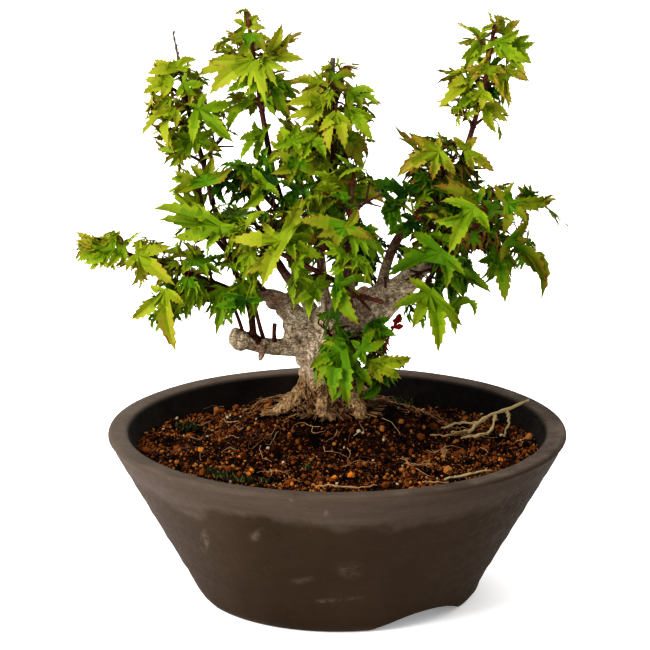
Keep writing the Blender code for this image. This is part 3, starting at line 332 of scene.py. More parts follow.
# Conspicuous leaves: mass, millimetres behind the pot's axis, colours, where the camera sees the stalk's end,
# and where it sees the tips of the lobes.
LARGE_LEAVES = (
    ("first_top", 9, "sunny", (176, 68), ((153, 59), (146, 73), (198, 60), (192, 74))),
    ("first_top", 6, "sunny", (172, 82), ((144, 79), (142, 94), (151, 68), (160, 100))),
    ("first_top", 7, "green", (184, 84), ((206, 84), (198, 96), (188, 72), (176, 98))),
    ("first_top", 5, "amber", (170, 98), ((148, 90), (149, 119), (152, 107), (168, 118))),
    ("first_top", 3, "sunny", (176, 110), ((141, 137), (168, 148), (175, 130), (152, 118))),
    ("first_top", 2, "green", (199, 109), ((235, 102), (234, 143), (207, 92), (193, 145), (184, 104))),
    ("first_top", 4, "green", (196, 138), ((158, 151), (167, 134), (217, 130), (224, 152), (168, 168), (196, 156))),
    ("second_top", 9, "sunny", (246, 26), ((245, 6), (260, 14), (232, 20), (268, 29), (228, 36))),
    ("second_top", 3, "bronzed", (251, 36), ((230, 46), (266, 54), (272, 40), (236, 58))),
    ("second_top", 4, "sunny", (252, 60), ((196, 78), (207, 60), (209, 95), (234, 74), (240, 46))),
    ("second_top", 8, "sunny", (266, 58), ((305, 60), (289, 33), (282, 23), (274, 42))),
    ("second_top", 4, "green", (258, 74), ((243, 97), (226, 93), (268, 96), (240, 80))),
    ("second_top", 5, "grass", (270, 74), ((287, 103), (299, 100), (277, 118), (292, 121), (288, 86))),
    ("second_top", 6, "green", (250, 101), ((221, 113), (228, 134), (238, 108), (254, 92))),
    ("centre_top", 0, "bronzed", (333, 78), ((320, 73), (332, 60), (358, 77), (350, 88), (322, 90))),
    ("centre_top", 1, "scarlet", (341, 77), ((345, 70), (351, 65), (348, 74))),
    ("centre_top", -1, "amber", (324, 83), ((289, 82), (306, 77), (299, 93), (316, 96))),
    ("centre_top", -3, "sunny", (324, 102), ((285, 105), (286, 120), (302, 92), (300, 128), (318, 124))),
    ("centre_top", 0, "green", (350, 92), ((380, 108), (377, 93), (362, 112), (350, 112))),
    ("centre_top", -2, "green", (348, 108), ((373, 142), (377, 118), (364, 128), (346, 134))),
    ("centre_top", -6, "sunny", (336, 113), ((331, 155), (352, 134), (318, 132), (345, 150))),
    ("centre_top", -1, "bronzed", (348, 132), ((369, 155), (362, 170), (350, 160), (364, 138))),
    ("centre_left", -8, "green", (312, 140), ((284, 152), (290, 133), (296, 164), (326, 160), (330, 142))),
    ("second_top", 5, "green", (262, 134), ((240, 162), (238, 141), (255, 119), (272, 124), (256, 160))),
    ("centre_left", -1, "sunny", (283, 150), ((284, 124), (298, 131), (269, 162), (297, 164), (270, 139))),
    ("centre_left", -3, "grass", (300, 172), ((282, 188), (316, 186), (296, 196), (284, 170), (312, 166))),
    ("centre_front", -19, "bronzed", (351, 192), ((386, 205), (377, 188), (364, 208), (368, 180), (340, 206))),
    ("centre_front", -18, "grass", (364, 233), ((380, 229), (372, 223), (375, 241), (356, 224))),
    ("left_middle", -4, "dark", (222, 181), ((205, 172), (238, 170), (211, 200), (240, 192), (227, 206))),
    ("inner_left", 0, "grass", (262, 160), ((247, 177), (276, 172), (269, 146), (253, 149), (282, 158))),
    ("right_inner", -10, "shaded", (392, 199), ((383, 209), (387, 229), (377, 196), (401, 215))),
    ("right_inner", -12, "shaded", (394, 204), ((391, 236), (380, 214), (402, 226), (384, 196), (408, 198))),
    ("centre_front", -16, "amber", (361, 236), ((381, 238), (374, 228), (374, 246), (366, 226))),
    ("centre_left", -12, "bronzed", (296, 164),
     ((270, 174), (275, 152), (318, 152), (322, 174), (288, 186), (300, 140))),
    ("centre_left", -10, "green", (292, 141), ((272, 149), (279, 128), (318, 132), (302, 158), (298, 124))),
    ("centre_left", -8, "shaded", (298, 190), ((280, 200), (288, 212), (312, 204), (278, 182), (316, 184))),
    ("right_top", 9, "grass", (492, 66), ((478, 52), (506, 56), (500, 84), (481, 84), (512, 70))),
    ("right_top", 9, "shaded", (488, 90), ((477, 101), (500, 101), (490, 75), (506, 92))),
    ("right_top", 8, "amber", (504, 34), ((521, 20), (493, 14), (496, 26), (516, 36))),
    ("right_top", 6, "green", (511, 45), ((536, 42), (531, 35), (532, 63), (520, 58))),
    ("right_top", 4, "amber", (505, 70), ((530, 81), (524, 74), (513, 104), (505, 100), (520, 66))),
    ("right_top", 6, "green", (483, 40), ((466, 27), (460, 60), (463, 72), (470, 44), (478, 58))),
    ("right_top", 4, "sunny", (474, 77), ((449, 74), (445, 89), (437, 108), (458, 66), (462, 94))),
    ("right_top", 4, "green", (476, 92), ((452, 116), (461, 91), (470, 108), (486, 100))),
    ("right_top", 5, "sunny", (486, 105), ((509, 122), (508, 114), (493, 122), (497, 134), (500, 104))),
    ("right_top", 2, "green", (497, 42), ((533, 64), (527, 74), (503, 60), (484, 50), (520, 28))),
    ("right_top", 2, "sunny", (483, 92), ((460, 106), (466, 96), (480, 112), (495, 104), (476, 80))),
    ("right_top", 2, "amber", (488, 68), ((470, 80), (463, 70), (500, 86), (508, 74), (482, 56))),
    ("right_shoulder", -8, "amber", (439, 152), ((408, 132), (396, 178), (432, 182), (456, 176), (440, 136))),
    ("right_shoulder", -2, "amber", (466, 150), ((495, 172), (478, 136), (474, 172), (452, 136))),
    ("right_outer", -16, "bronzed", (478, 202), ((424, 183), (440, 170), (452, 176), (486, 182), (466, 184))),
    ("right_outer", -16, "bronzed", (508, 204),
     ((555, 199), (515, 180), (494, 184), (533, 208), (528, 222), (504, 236))),
    ("right_outer", -22, "green", (473, 209), ((432, 221), (448, 256), (490, 232), (440, 202))),
    ("right_drop", -6, "bronzed", (512, 238), ((541, 301), (548, 284), (529, 240), (528, 218), (500, 262))),
    ("right_drop", -2, "grass", (497, 254), ((505, 304), (486, 279), (512, 284), (477, 262), (480, 246))),
    ("right_inner", -17, "grass", (440, 253), ((386, 276), (398, 247), (410, 232), (446, 290), (466, 276))),
    ("right_low", -20, "green", (430, 293), ((391, 310), (438, 353), (463, 326), (412, 330), (408, 276))),
    ("right_low", -10, "grass", (452, 270), ((478, 280), (492, 294), (462, 296), (440, 288))),
    ("right_low", -10, "green", (462, 298), ((456, 336), (475, 318), (471, 300), (448, 318))),
    ("right_inner", -9, "dark", (408, 192), ((362, 183), (387, 224), (405, 214), (428, 186), (402, 180))),
    ("right_inner", -11, "shaded", (414, 222), ((386, 236), (402, 240), (432, 216), (424, 242), (398, 216))),
    ("left_tip", -10, "amber", (100, 246), ((76, 231), (75, 240), (80, 252), (92, 234), (108, 240))),
    ("left_tip", -11, "green", (112, 250), ((83, 264), (76, 262), (96, 262), (105, 269), (114, 230))),
    ("left_tip", -11, "green", (122, 248), ((115, 231), (130, 238), (106, 269), (124, 266))),
    ("left_tip", -14, "sunny", (138, 255), ((172, 246), (158, 243), (176, 286), (130, 287), (126, 272), (140, 239))),
    ("left_low", -20, "sunny", (165, 291), ((131, 319), (138, 301), (176, 352), (161, 331), (186, 306), (150, 285))),
    ("left_middle", -18, "green", (220, 227),
     ((153, 209), (158, 220), (172, 238), (206, 250), (246, 240), (190, 200))),
    ("left_middle", -12, "bronzed", (206, 182), ((174, 170), (172, 196), (190, 164), (232, 166), (214, 156))),
    ("inner_left", -14, "green", (266, 184), ((238, 210), (280, 199), (250, 182), (250, 200), (252, 168))),
    ("left_front", -31, "sunny", (281, 241),
     ((228, 240), (262, 288), (243, 276), (303, 196), (262, 220), (256, 262))),
    ("left_front", -27, "green", (288, 238), ((313, 252), (326, 258), (318, 240), (296, 262))),
    ("centre_low", -26, "green", (316, 288),
     ((290, 308), (308, 322), (334, 281), (300, 276), (328, 270), (318, 304))),
    ("centre_low", -28, "grass", (338, 283), ((360, 326), (335, 313), (376, 286), (344, 260), (352, 300))),
    ("centre_front", -33, "bronzed", (346, 228), ((298, 220), (316, 238), (372, 240), (358, 206), (336, 252))),
    ("left_front", -22, "shaded", (246, 300), ((224, 326), (206, 308), (270, 300), (214, 292), (246, 320))),
    ("front_low", -24, "grass", (340, 352), ((309, 369), (333, 403), (348, 408), (318, 384), (320, 344))),
    ("front_low", -22, "grass", (352, 366), ((358, 399), (372, 390), (346, 384), (366, 372))),
    ("side_low", -22, "grass", (362, 350), ((386, 339), (376, 328), (352, 370), (350, 340), (366, 366))),
    ("side_low", -20, "sunny", (372, 363), ((402, 379), (412, 357), (374, 378), (395, 358), (384, 384))),
    ("side_low", -16, "shaded", (374, 322), ((397, 336), (391, 318), (362, 336), (380, 344))),
    ("side_low", -16, "shaded", (380, 377), ((359, 398), (368, 400), (390, 388), (366, 384))),
    ("side_low", -14, "scarlet", (394, 327), ((400, 313), (404, 326), (390, 328), (398, 318))),
)
LARGE_LEAF_REACH = 1.15  # how far one may reach from its mass's stem, as a share of the mass's reach
LARGE_LEAF_FITS = 30  # how often one that reaches too far is made smaller, and by how much
LARGE_LEAF_FIT = 0.97
LARGE_LEAF_NOTCH = 0.3  # how far out the notch between two lobes lies, as a share of the shorter
LARGE_LEAF_WIDTH = (0.125, 0.75 * MM)  # a lobe's half width, for its length and besides
LARGE_LEAF_INNER = 0.55  # how far out its inner points lie, as a share of its half width
LARGE_LEAF_SIDE = (  # from a lobe's notch to its tip: share of its length, share of its half width
    (0.36, 0.80), (0.43, 1.0), (0.455, 0.74), (0.57, 0.93), (0.595, 0.64),
    (0.71, 0.72), (0.735, 0.46), (0.85, 0.42), (0.87, 0.22),
)
# Places in the camera's frame where the sky, or the trunk's foot, shows through, and how wide.
SKY = (
    (257, 203, 5), (264, 204, 4), (256, 228, 4), (283, 189, 4), (218, 247, 6), (202, 242, 4), (216, 277, 4),
    (232, 276, 4), (280, 265, 6), (284, 276, 5), (272, 284, 6), (277, 281, 5), (327, 265, 4), (368, 213, 5),
    (383, 211, 4), (380, 228, 4), (388, 230, 4), (394, 219, 4), (407, 231, 5), (411, 212, 3), (387, 260, 6),
    (480, 257, 5), (507, 243, 3), (433, 308, 5), (469, 308, 4), (240, 122, 8), (246, 132, 6), (275, 310, 5),
    (157, 46, 9), (190, 47, 10), (139, 72, 6), (139, 86, 5), (204, 68, 5), (312, 54, 12), (333, 45, 10),
    (352, 52, 10), (388, 118, 8), (383, 135, 9), (374, 165, 7), (386, 158, 12), (380, 174, 5), (396, 164, 12),
    (451, 58, 9), (446, 122, 8), (440, 96, 5), (513, 130, 9), (520, 112, 7), (525, 95, 7), (478, 17, 9),
    (505, 166, 9), (530, 168, 10), (546, 182, 8), (542, 222, 9), (549, 250, 9), (90, 220, 10), (105, 221, 9),
    (153, 230, 8), (166, 234, 5), (100, 280, 8), (188, 332, 9), (197, 322, 6), (181, 348, 5), (130, 300, 6),
    (210, 332, 6), (410, 342, 10), (146, 345, 10), (118, 280, 6), (222, 90, 7), (214, 99, 5), (232, 84, 5),
    (143, 128, 7), (147, 145, 8), (155, 160, 7), (170, 168, 5), (363, 76, 5), (372, 88, 4), (128, 231, 5),
    (86, 234, 4), (398, 352, 6), (484, 130, 6), (498, 108, 4), (478, 122, 4), (518, 100, 6), (236, 150, 6),
    (303, 372, 9), (306, 392, 9), (318, 400, 8), (330, 414, 8), (345, 419, 8), (360, 411, 9), (375, 406, 9),
    (390, 400, 9), (404, 391, 8), (413, 376, 7), (336, 392, 4), (352, 384, 3), (365, 396, 5), (312, 352, 5),
    (222, 19, 7), (275, 17, 7),
)

CAMERA_LENS = 188.2
CAMERA_DISTANCE = 1.1
CAMERA_ELEVATION = 14.8
CAMERA_TARGET = (-4.0 * MM, 89.4 * MM)
SENSOR = 36
FRAME = 650  # the width of the frame, for places given as the camera sees them, from the top left
FOCAL = CAMERA_LENS / SENSOR * FRAME
WORLD_STRENGTH = 0.90
FLOOR_GLOW = 0.20
LIGHTS = (  # name, place, size, power
    ("key_light", (-1.55, -1.25, 1.15), 1.4, 50),
    ("fill_light", (1.2, -1.2, 1.0), 1.4, 1),
    ("back_light", (0.2, 1.3, 1.7), 1.4, 12),
)

# How a mass's leaves are coloured: shares of the blade's colours, then of its margin's.
# Painted light and shade by a mass's place in the crown: painted light on the sunny masses at the top and the bright
# ones on the left and front, painted shade on the shaded ones within and behind.
FINISHES = {
    "sunny": ((("lime", 5), ("spring", 6), ("olive", 2)), (("straw", 3), ("ochre", 2), ("bronze", 1), ("lime", 5))),
    "bronzed": ((("fresh", 4), ("leaf", 4), ("lime", 1), ("mid", 2)), (("bronze", 3), ("ochre", 5), ("fresh", 2))),
    "bright": ((("fresh", 5), ("leaf", 3), ("spring", 4)), (("spring", 5), ("ochre", 1), ("fresh", 3), ("olive", 2))),
    "shaded": ((("mid", 4), ("leaf", 4), ("deep", 3)), (("leaf", 5), ("fresh", 2), ("ochre", 2))),
    "glossy": ((("leaf", 5), ("fresh", 3), ("mid", 2)), (("fresh", 4), ("leaf", 5), ("mid", 1))),
}
MASSES_OF_FINISH = {  # the other masses are shaded, in painted shade
    "sunny": ("first_top", "second_top", "centre_top", "right_top", "left_tip"),
    "bronzed": ("right_shoulder", "right_outer", "right_drop", "right_inner"),
    "bright": ("left_low", "left_front", "left_middle", "centre_front", "centre_left"),
    "glossy": ("front_low", "side_low", "centre_low"),
}
LEAF_COLOURS = {
    "deep": (0.016, 0.052, 0.0012),
    "mid": (0.040, 0.098, 0.0015),
    "leaf": (0.072, 0.150, 0.002),
    "fresh": (0.110, 0.176, 0.003),
    "spring": (0.160, 0.208, 0.007),
    "lime": (0.212, 0.236, 0.013),
    "straw": (0.240, 0.200, 0.022),
    "olive": (0.128, 0.150, 0.005),
    "ochre": (0.158, 0.110, 0.011),
    "bronze": (0.150, 0.066, 0.013),
    "red": (0.20, 0.012, 0.008),
}

# A leaf's lobes, each way from its midrib: direction in degrees, length, half width, and the notch before it.
LOBES = ((0, 1.0, 0.185, 0.0), (36, 0.90, 0.17, 0.38), (75, 0.66, 0.14, 0.32), (120, 0.34, 0.08, 0.22))
# The side of a lobe from its notch to its tip: share of its length, share of its half width.
LOBE_SIDE = ((0.50, 1.0), (0.545, 0.68), (0.74, 0.66), (0.775, 0.34))
LOBE_INNER = (0.52, 0.50)


# Paths


def camera_axes():
    """The camera's place, the way to its right, up, and back from what it looks at."""
    tilt = math.radians(CAMERA_ELEVATION)
    back = Vector((0, -math.cos(tilt), math.sin(tilt)))
    target = Vector((POT_X + CAMERA_TARGET[0], 0, CAMERA_TARGET[1]))
    return target + back * CAMERA_DISTANCE, Vector((1, 0, 0)), Vector((0, math.sin(tilt), math.cos(tilt))), back


def from_view(x, y, depth):
    """What the camera sees at this place in its frame, this many millimetres behind the pot's axis."""
    eye, right, up, back = camera_axes()
    ray = right * (x - FRAME / 2) / FOCAL - up * (y - FRAME / 2) / FOCAL - back
    return eye + ray * ((depth * MM - eye.y) / ray.y)


def in_view(points):
    """Where the camera sees points."""
    eye, right, up, back = (np.array(axis) for axis in camera_axes())
    away = np.asarray(points) - eye
    scale = FOCAL / -(away @ back)
    return np.stack([FRAME / 2 + away @ right * scale, FRAME / 2 - away @ up * scale], axis=1)


def from_pot(point):
    """A point given in millimetres from the pot's axis, in the scene."""
    return Vector((point[0] * MM + POT_X, point[1] * MM, point[2] * MM))


def smooth_path(points, steps):
    """A Catmull-Rom path through the points, with this many steps a span."""
    ends = [points[0] * 2 - points[1], *points, points[-1] * 2 - points[-2]]
    path = []
    for a, b, c, d in zip(ends, ends[1:], ends[2:], ends[3:]):
        for i in range(steps):
            t = i / steps
            path.append(0.5 * (2 * b + (c - a) * t + (2 * a - 5 * b + 4 * c - d) * t**2
                               + (3 * b - a - 3 * c + d) * t**3))
    return [*path, points[-1].copy()]


def halved(start, end):
    """A straight path with a point halfway."""
    return [start, start.lerp(end, 0.5), end]


def along(path, share):
    """The place and the direction at a share of the path's length."""
    lengths = [(b - a).length for a, b in zip(path, path[1:])]
    left = share * sum(lengths)
    for a, b, length in zip(path, path[1:], lengths):
        if left <= length or b is path[-1]:
            return a.lerp(b, min(left / length, 1)), (b - a).normalized()
        left -= length


def length_of(path):
    return sum((b - a).length for a, b in zip(path, path[1:]))


def across(direction, lean=Vector((0, 0, 1))):
    """Two unit vectors at right angles to a direction, the second as near as can be to the lean."""
    if abs(direction.dot(lean)) > 0.95:
        lean = Vector((1, 0, 0))
    side = direction.cross(lean).normalized()
    return side, side.cross(direction).normalized()


def outwards(direction, angle, lead):
    """The way out from a stem at an angle round it, leaning along it by the lead."""
    side, up = across(direction)
    return (side * math.cos(angle) + up * math.sin(angle) + direction * lead).normalized()


def spread(values, count):
    return list(np.interp(np.linspace(0, 1, count), np.linspace(0, 1, len(values)), values))


def dense(path, step=1 * MM):
    """The path as an array of places a short step apart."""
    count = max(2, int(length_of(path) / step))
    return np.array([along(path, i / count)[0] for i in range(count + 1)])


def limb_path(name, steps=6):
    return smooth_path([from_pot(p) for p in LIMBS[name].points], steps)


def limb_radii(name):
    return [r * MM for r in LIMBS[name].radii]


def limb_places(name):
    """Places a short step apart along a limb, and its radius at each."""
    places = dense(limb_path(name))
    return places, np.array(spread(limb_radii(name), len(places)))


def stem_of(name, steps=5):
    mass = MASSES[name]
    start, _ = along(limb_path(mass.limb), mass.start)
    return smooth_path([start, *(from_pot(p) for p in mass.points)], steps)


# Pieces


def nothing_selected():
    for chosen in bpy.context.selected_objects:
        chosen.select_set(False)


def take(piece):
    """Makes a piece the only one selected, and the active one."""
    nothing_selected()
    piece.select_set(True)
    bpy.context.view_layer.objects.active = piece
    return piece


def named(name):
    """The piece just added, with its name, and its place moved into its mesh."""
    piece = bpy.context.active_object
    piece.name = name
    piece.data.name = name
    take(piece)
    bpy.ops.object.transform_apply(location=True, rotation=True, scale=True)
    return piece


def applied(piece, kind, **values):
    """A modifier with these values, applied."""
    take(piece)
    modifier = piece.modifiers.new(kind.title(), kind)
    for key, value in values.items():
        setattr(modifier, key, value)
    bpy.ops.object.modifier_apply(modifier=modifier.name)


def edit_points():
    """Opens the active piece's mesh, with all its points selected."""
    bpy.ops.object.mode_set(mode="EDIT")
    bpy.ops.mesh.select_mode(type="VERT")
    bpy.ops.mesh.select_all(action="SELECT")


def draw_ring(ring, next_ring):
    """Draws the selected ring on to the next radius and height, about the pot's axis."""
    (r, z), (next_r, next_z) = ring, next_ring
    bpy.ops.mesh.extrude_region_move(TRANSFORM_OT_translate={"value": (0, 0, next_z - z)})
    bpy.ops.transform.resize(value=(next_r / r, next_r / r, 1), center_override=(POT_X, 0, next_z))


def close_edit():
    """Turns all faces outwards and closes the mesh."""
    bpy.ops.mesh.select_all(action="SELECT")
    bpy.ops.mesh.normals_make_consistent(inside=False)
    bpy.ops.object.mode_set(mode="OBJECT")


def joined(name, pieces):
    take(pieces[0])
    for piece in pieces:
        piece.select_set(True)
    bpy.ops.object.join()
    return named(name)


def carried(piece, slot, *nodes):
    """The piece rides on the one body and stands for these nodes. Its slot is not used."""
    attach(piece, "root")
    if nodes:
        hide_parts(*nodes)
    return piece


def points_of(piece):
    flat = np.zeros(len(piece.data.vertices) * 3, np.float32)
    piece.data.vertices.foreach_get("co", flat)
    return flat.reshape(-1, 3).astype(float)


def put_points(piece, points):
    piece.data.vertices.foreach_set("co", np.asarray(points, np.float32).ravel())
    piece.data.update()


def mesh_piece(name, points, faces, materials=(), kinds=None):
    """Many small shapes as one mesh from arrays. Kinds give each face's place in the materials."""
    mesh = bpy.data.meshes.new(name)
    mesh.from_pydata([tuple(p) for p in points], [], faces)
    for material in materials:
        mesh.materials.append(material)
    if kinds is not None:
        mesh.polygons.foreach_set("material_index", np.array(kinds, np.int32))
    mesh.update()
    piece = bpy.data.objects.new(name, mesh)
    bpy.context.scene.collection.objects.link(piece)
    return piece


class Heap:
    """Gathers many small shapes for one joined mesh."""

    def __init__(self):
        self.points = []
        self.faces = []
        self.kinds = []
        self.count = 0

    def add(self, points, faces, kind=0):
        self.points.append(np.asarray(points, float))
        self.faces += [tuple(i + self.count for i in face) for face in faces]
        self.kinds += kind if isinstance(kind, list) else [kind] * len(faces)
        self.count += len(points)

    def tube(self, path, radii, sides, kind=0):
        self.add(*tube(path, radii, sides), kind)

    def piece(self, name, materials):
        return mesh_piece(name, np.concatenate(self.points), self.faces, materials, self.kinds)


def tube(path, radii, sides):
    """Points and faces of a closed tube along a path, whose frame is carried from ring to ring."""
    radii = spread(radii, len(path))
    tangents = [(b - a).normalized() for a, b in zip(path, path[1:])]
    tangents = [tangents[0], *((a + b).normalized() for a, b in zip(tangents, tangents[1:])), tangents[-1]]
    side, _ = across(tangents[0])
    points = []
    for centre, tangent, radius in zip(path, tangents, radii):
        side = (side - tangent * side.dot(tangent)).normalized()
        up = tangent.cross(side)
        for j in range(sides):
            a = math.tau * j / sides
            points.append(centre + (side * math.cos(a) + up * math.sin(a)) * radius)
    faces = [tuple(reversed(range(sides)))]
    for i in range(len(path) - 1):
        for j in range(sides):
            k = (j + 1) % sides
            faces.append((i * sides + j, i * sides + k, (i + 1) * sides + k, (i + 1) * sides + j))
    last = (len(path) - 1) * sides
    faces.append(tuple(range(last, last + sides)))
    return points, faces


# Materials


class Finish:
    """A Principled material whose nodes read Object coordinates."""

    def __init__(self, name, roughness=0.6, colour=None, specular=0.5):
        self.material = bpy.data.materials.new(name)
        self.material.use_nodes = True
        self.tree = self.material.node_tree
        self.shader = self.tree.nodes["Principled BSDF"]
        self.shader.inputs["Roughness"].default_value = roughness
        self.shader.inputs["Specular IOR Level"].default_value = specular
        if colour:
            self.shader.inputs["Base Color"].default_value = (*colour, 1)
        self.place = self.tree.nodes.new("ShaderNodeTexCoord").outputs["Object"]

    def node(self, kind, **sockets):
        made = self.tree.nodes.new("ShaderNode" + kind)
        for name, value in sockets.items():
            self.feed(made.inputs[name.replace("_", " ")], value)
        return made

    def feed(self, socket, value):
        if isinstance(value, bpy.types.NodeSocket):
            self.tree.links.new(value, socket)
        else:
            socket.default_value = value

    def stretched(self, location=(0, 0, 0), rotation=(0, 0, 0), scale=(1, 1, 1)):
        mapping = self.node("Mapping", Vector=self.place)
        mapping.vector_type = "TEXTURE"
        mapping.inputs["Location"].default_value = location
        mapping.inputs["Rotation"].default_value = rotation
        mapping.inputs["Scale"].default_value = scale
        return mapping.outputs[0]

    def grain(self, scale, detail=4.0, rough=0.55, place=None, distortion=0.0):
        made = self.node("TexNoise", Vector=place or self.place, Scale=scale, Detail=detail,
                         Roughness=rough, Distortion=distortion)
        return made.outputs["Fac"]

    def cells(self, scale, place=None, feature="F1"):
        made = self.node("TexVoronoi", Vector=place or self.place, Scale=scale)
        made.feature = feature
        return made.outputs["Distance"]

    def between(self, value, low, high, to_low=0.0, to_high=1.0):
        """The value spread from one range over another, and kept in it."""
        made = self.node("MapRange", Value=value)
        made.clamp = True
        for name, number in (("From Min", low), ("From Max", high), ("To Min", to_low), ("To Max", to_high)):
            made.inputs[name].default_value = number
        return made.outputs[0]

    def maths(self, operation, a, b=0.0):
        made = self.tree.nodes.new("ShaderNodeMath")
        made.operation = operation
        self.feed(made.inputs[0], a)
        self.feed(made.inputs[1], b)
        return made.outputs[0]

    def product(self, a, b):
        return self.maths("MULTIPLY", a, b)

    def total(self, a, b):
        return self.maths("ADD", a, b)

    def blend(self, factor, a, b, kind="MIX"):
        made = self.tree.nodes.new("ShaderNodeMix")
        made.data_type = "RGBA"
        made.blend_type = kind
        self.feed(made.inputs[0], factor)
        for socket, value in ((made.inputs[6], a), (made.inputs[7], b)):
            self.feed(socket, (*value, 1) if isinstance(value, tuple) else value)
        return made.outputs[2]

    def shade(self, value, low, high, a, b, to_low=0.0, to_high=1.0):
        """One colour turning into another as the value goes from low to high."""
        return self.blend(self.between(value, low, high, to_low, to_high), a, b)

    def height_of(self, place=None):
        return self.node("SeparateXYZ", Vector=place or self.place).outputs["Z"]

    def distance(self, place):
        made = self.tree.nodes.new("ShaderNodeVectorMath")
        made.operation = "LENGTH"
        self.feed(made.inputs[0], place)
        return made.outputs["Value"]

    def colour(self, value):
        self.feed(self.shader.inputs["Base Color"], value)

    def relief(self, height, distance, strength=1.0):
        made = self.node("Bump", Height=height, Distance=distance, Strength=strength)
        self.feed(self.shader.inputs["Normal"], made.outputs[0])


def plain_finish(name, colour, roughness, relief_scale, relief_depth, specular=0.4):
    """A plain base colour with a fine relief."""
    finish = Finish(name, roughness, colour, specular)
    finish.relief(finish.grain(relief_scale, 3.0), relief_depth)
    return finish.material


def clay_finish():
    finish = Finish("dark_clay", 0.7, specular=0.12)
    z = finish.height_of()
    broad = finish.grain(28, 5.0, 0.6)
    fine = finish.grain(420, 4.0, 0.7)
    speck = finish.cells(900)
    body = finish.shade(broad, 0.35, 0.68, (0.022, 0.0112, 0.0042), (0.037, 0.0215, 0.0110))
    body = finish.shade(fine, 0.3, 0.75, body, (0.047, 0.030, 0.018), 0, 0.45)
    # a greyer bloom under the lip, with a wandering lower edge
    wander = finish.grain(34, 4.0, 0.6, finish.stretched(scale=(1, 1, 2.2)))
    edge = finish.total(z, finish.between(wander, 0.3, 0.7, -5 * MM, 5 * MM))
    bloom = finish.between(edge, 42.2 * MM, 45.8 * MM)
    streak = finish.grain(60, 4.0, 0.6, finish.stretched(scale=(4, 4, 0.35)))
    bloom = finish.product(bloom, finish.between(streak, 0.3, 0.65, 0.35, 1.0))
    body = finish.blend(bloom, body, (0.078, 0.057, 0.044))
    # painted light and shade: the clay is painted paler on its left, where the light falls, and darker on its right,
    # away from it
    across_pot = finish.node("SeparateXYZ", Vector=finish.place).outputs[0]
    body = finish.shade(across_pot, -24 * MM, -76 * MM, body, (0.085, 0.064, 0.051), 0, 0.75)
    body = finish.shade(across_pot, 10 * MM, 66 * MM, body, (0.018, 0.010, 0.005), 0, 0.6)
    # pale smears and scuffs where the wall was rubbed
    for place, turn, size, strength in POT_MARKS:
        near = finish.stretched(from_pot(place), turn, tuple(s * MM for s in size))
        fall = finish.between(finish.distance(near), 1.0, 0.25)
        torn = finish.product(fall, finish.between(finish.grain(260, 4.0, 0.7), 0.42, 0.62))
        body = finish.blend(finish.product(torn, strength), body, (0.20, 0.16, 0.125))
    flecks = finish.product(finish.between(speck, 0.12, 0.04), finish.between(finish.grain(90), 0.55, 0.62))
    body = finish.blend(finish.product(flecks, 0.6), body, (0.24, 0.20, 0.16))
    lip = finish.between(z, 54.2 * MM, 54.9 * MM)
    worn = finish.product(lip, finish.between(finish.grain(70, 5.0, 0.65), 0.38, 0.66, 0.1, 0.75))
    body = finish.blend(worn, body, (0.115, 0.088, 0.066))
    foot = finish.product(finish.between(z, 2.2 * MM, 0.2 * MM), finish.between(broad, 0.4, 0.6, 0.1, 0.7))
    body = finish.blend(foot, body, (0.09, 0.067, 0.047))
    # painted shade: the inside is painted nearly black, for the shade inside the wall above the soil, with damp clay
    axis = finish.node("VectorMath", Vector=finish.place)
    axis.operation = "MULTIPLY_ADD"
    axis.inputs[1].default_value = (1, 1, 0)
    axis.inputs[2].default_value = (-POT_X, 0, 0)
    cone = finish.total(finish.product(z, LIP_SLOPE), LIP_FOOT)
    inner = finish.maths("SUBTRACT", cone, finish.distance(axis.outputs[0]))
    shade_and_damp = finish.product(finish.between(inner, 0, 0.5 * MM), finish.between(z, 54.6 * MM, 53.5 * MM))
    inside_shade = finish.shade(broad, 0.4, 0.62, (0.003, 0.0017, 0.001), (0.014, 0.008, 0.0045))
    body = finish.blend(shade_and_damp, body, inside_shade)
    finish.colour(body)
    rings = finish.grain(900, 3.0, 0.6, finish.stretched(scale=(14, 14, 1)))
    pits = finish.cells(1300)
    height = finish.total(finish.product(rings, 0.5), finish.product(fine, 0.8))
    height = finish.total(height, finish.product(finish.between(pits, 0.0, 0.35), 0.35))
    finish.relief(height, 0.28 * MM, 0.9)
    finish.feed(finish.shader.inputs["Roughness"], finish.between(fine, 0.3, 0.7, 0.6, 0.85))
    return finish.material


def soil_finish():
    finish = Finish("damp_crumb", 0.95, specular=0.08)
    crumb = finish.cells(900)
    broad = finish.grain(45, 4.0, 0.6)
    base = finish.shade(broad, 0.36, 0.66, (0.003, 0.001, 0.0006), (0.024, 0.007, 0.002))
    base = finish.shade(crumb, 0.45, 0.1, base, (0.065, 0.021, 0.006), 0, 0.7)
    finish.colour(base)
    finish.relief(finish.maths("SUBTRACT", finish.grain(1500, 4.0, 0.7), crumb), 0.7 * MM)
    return finish.material


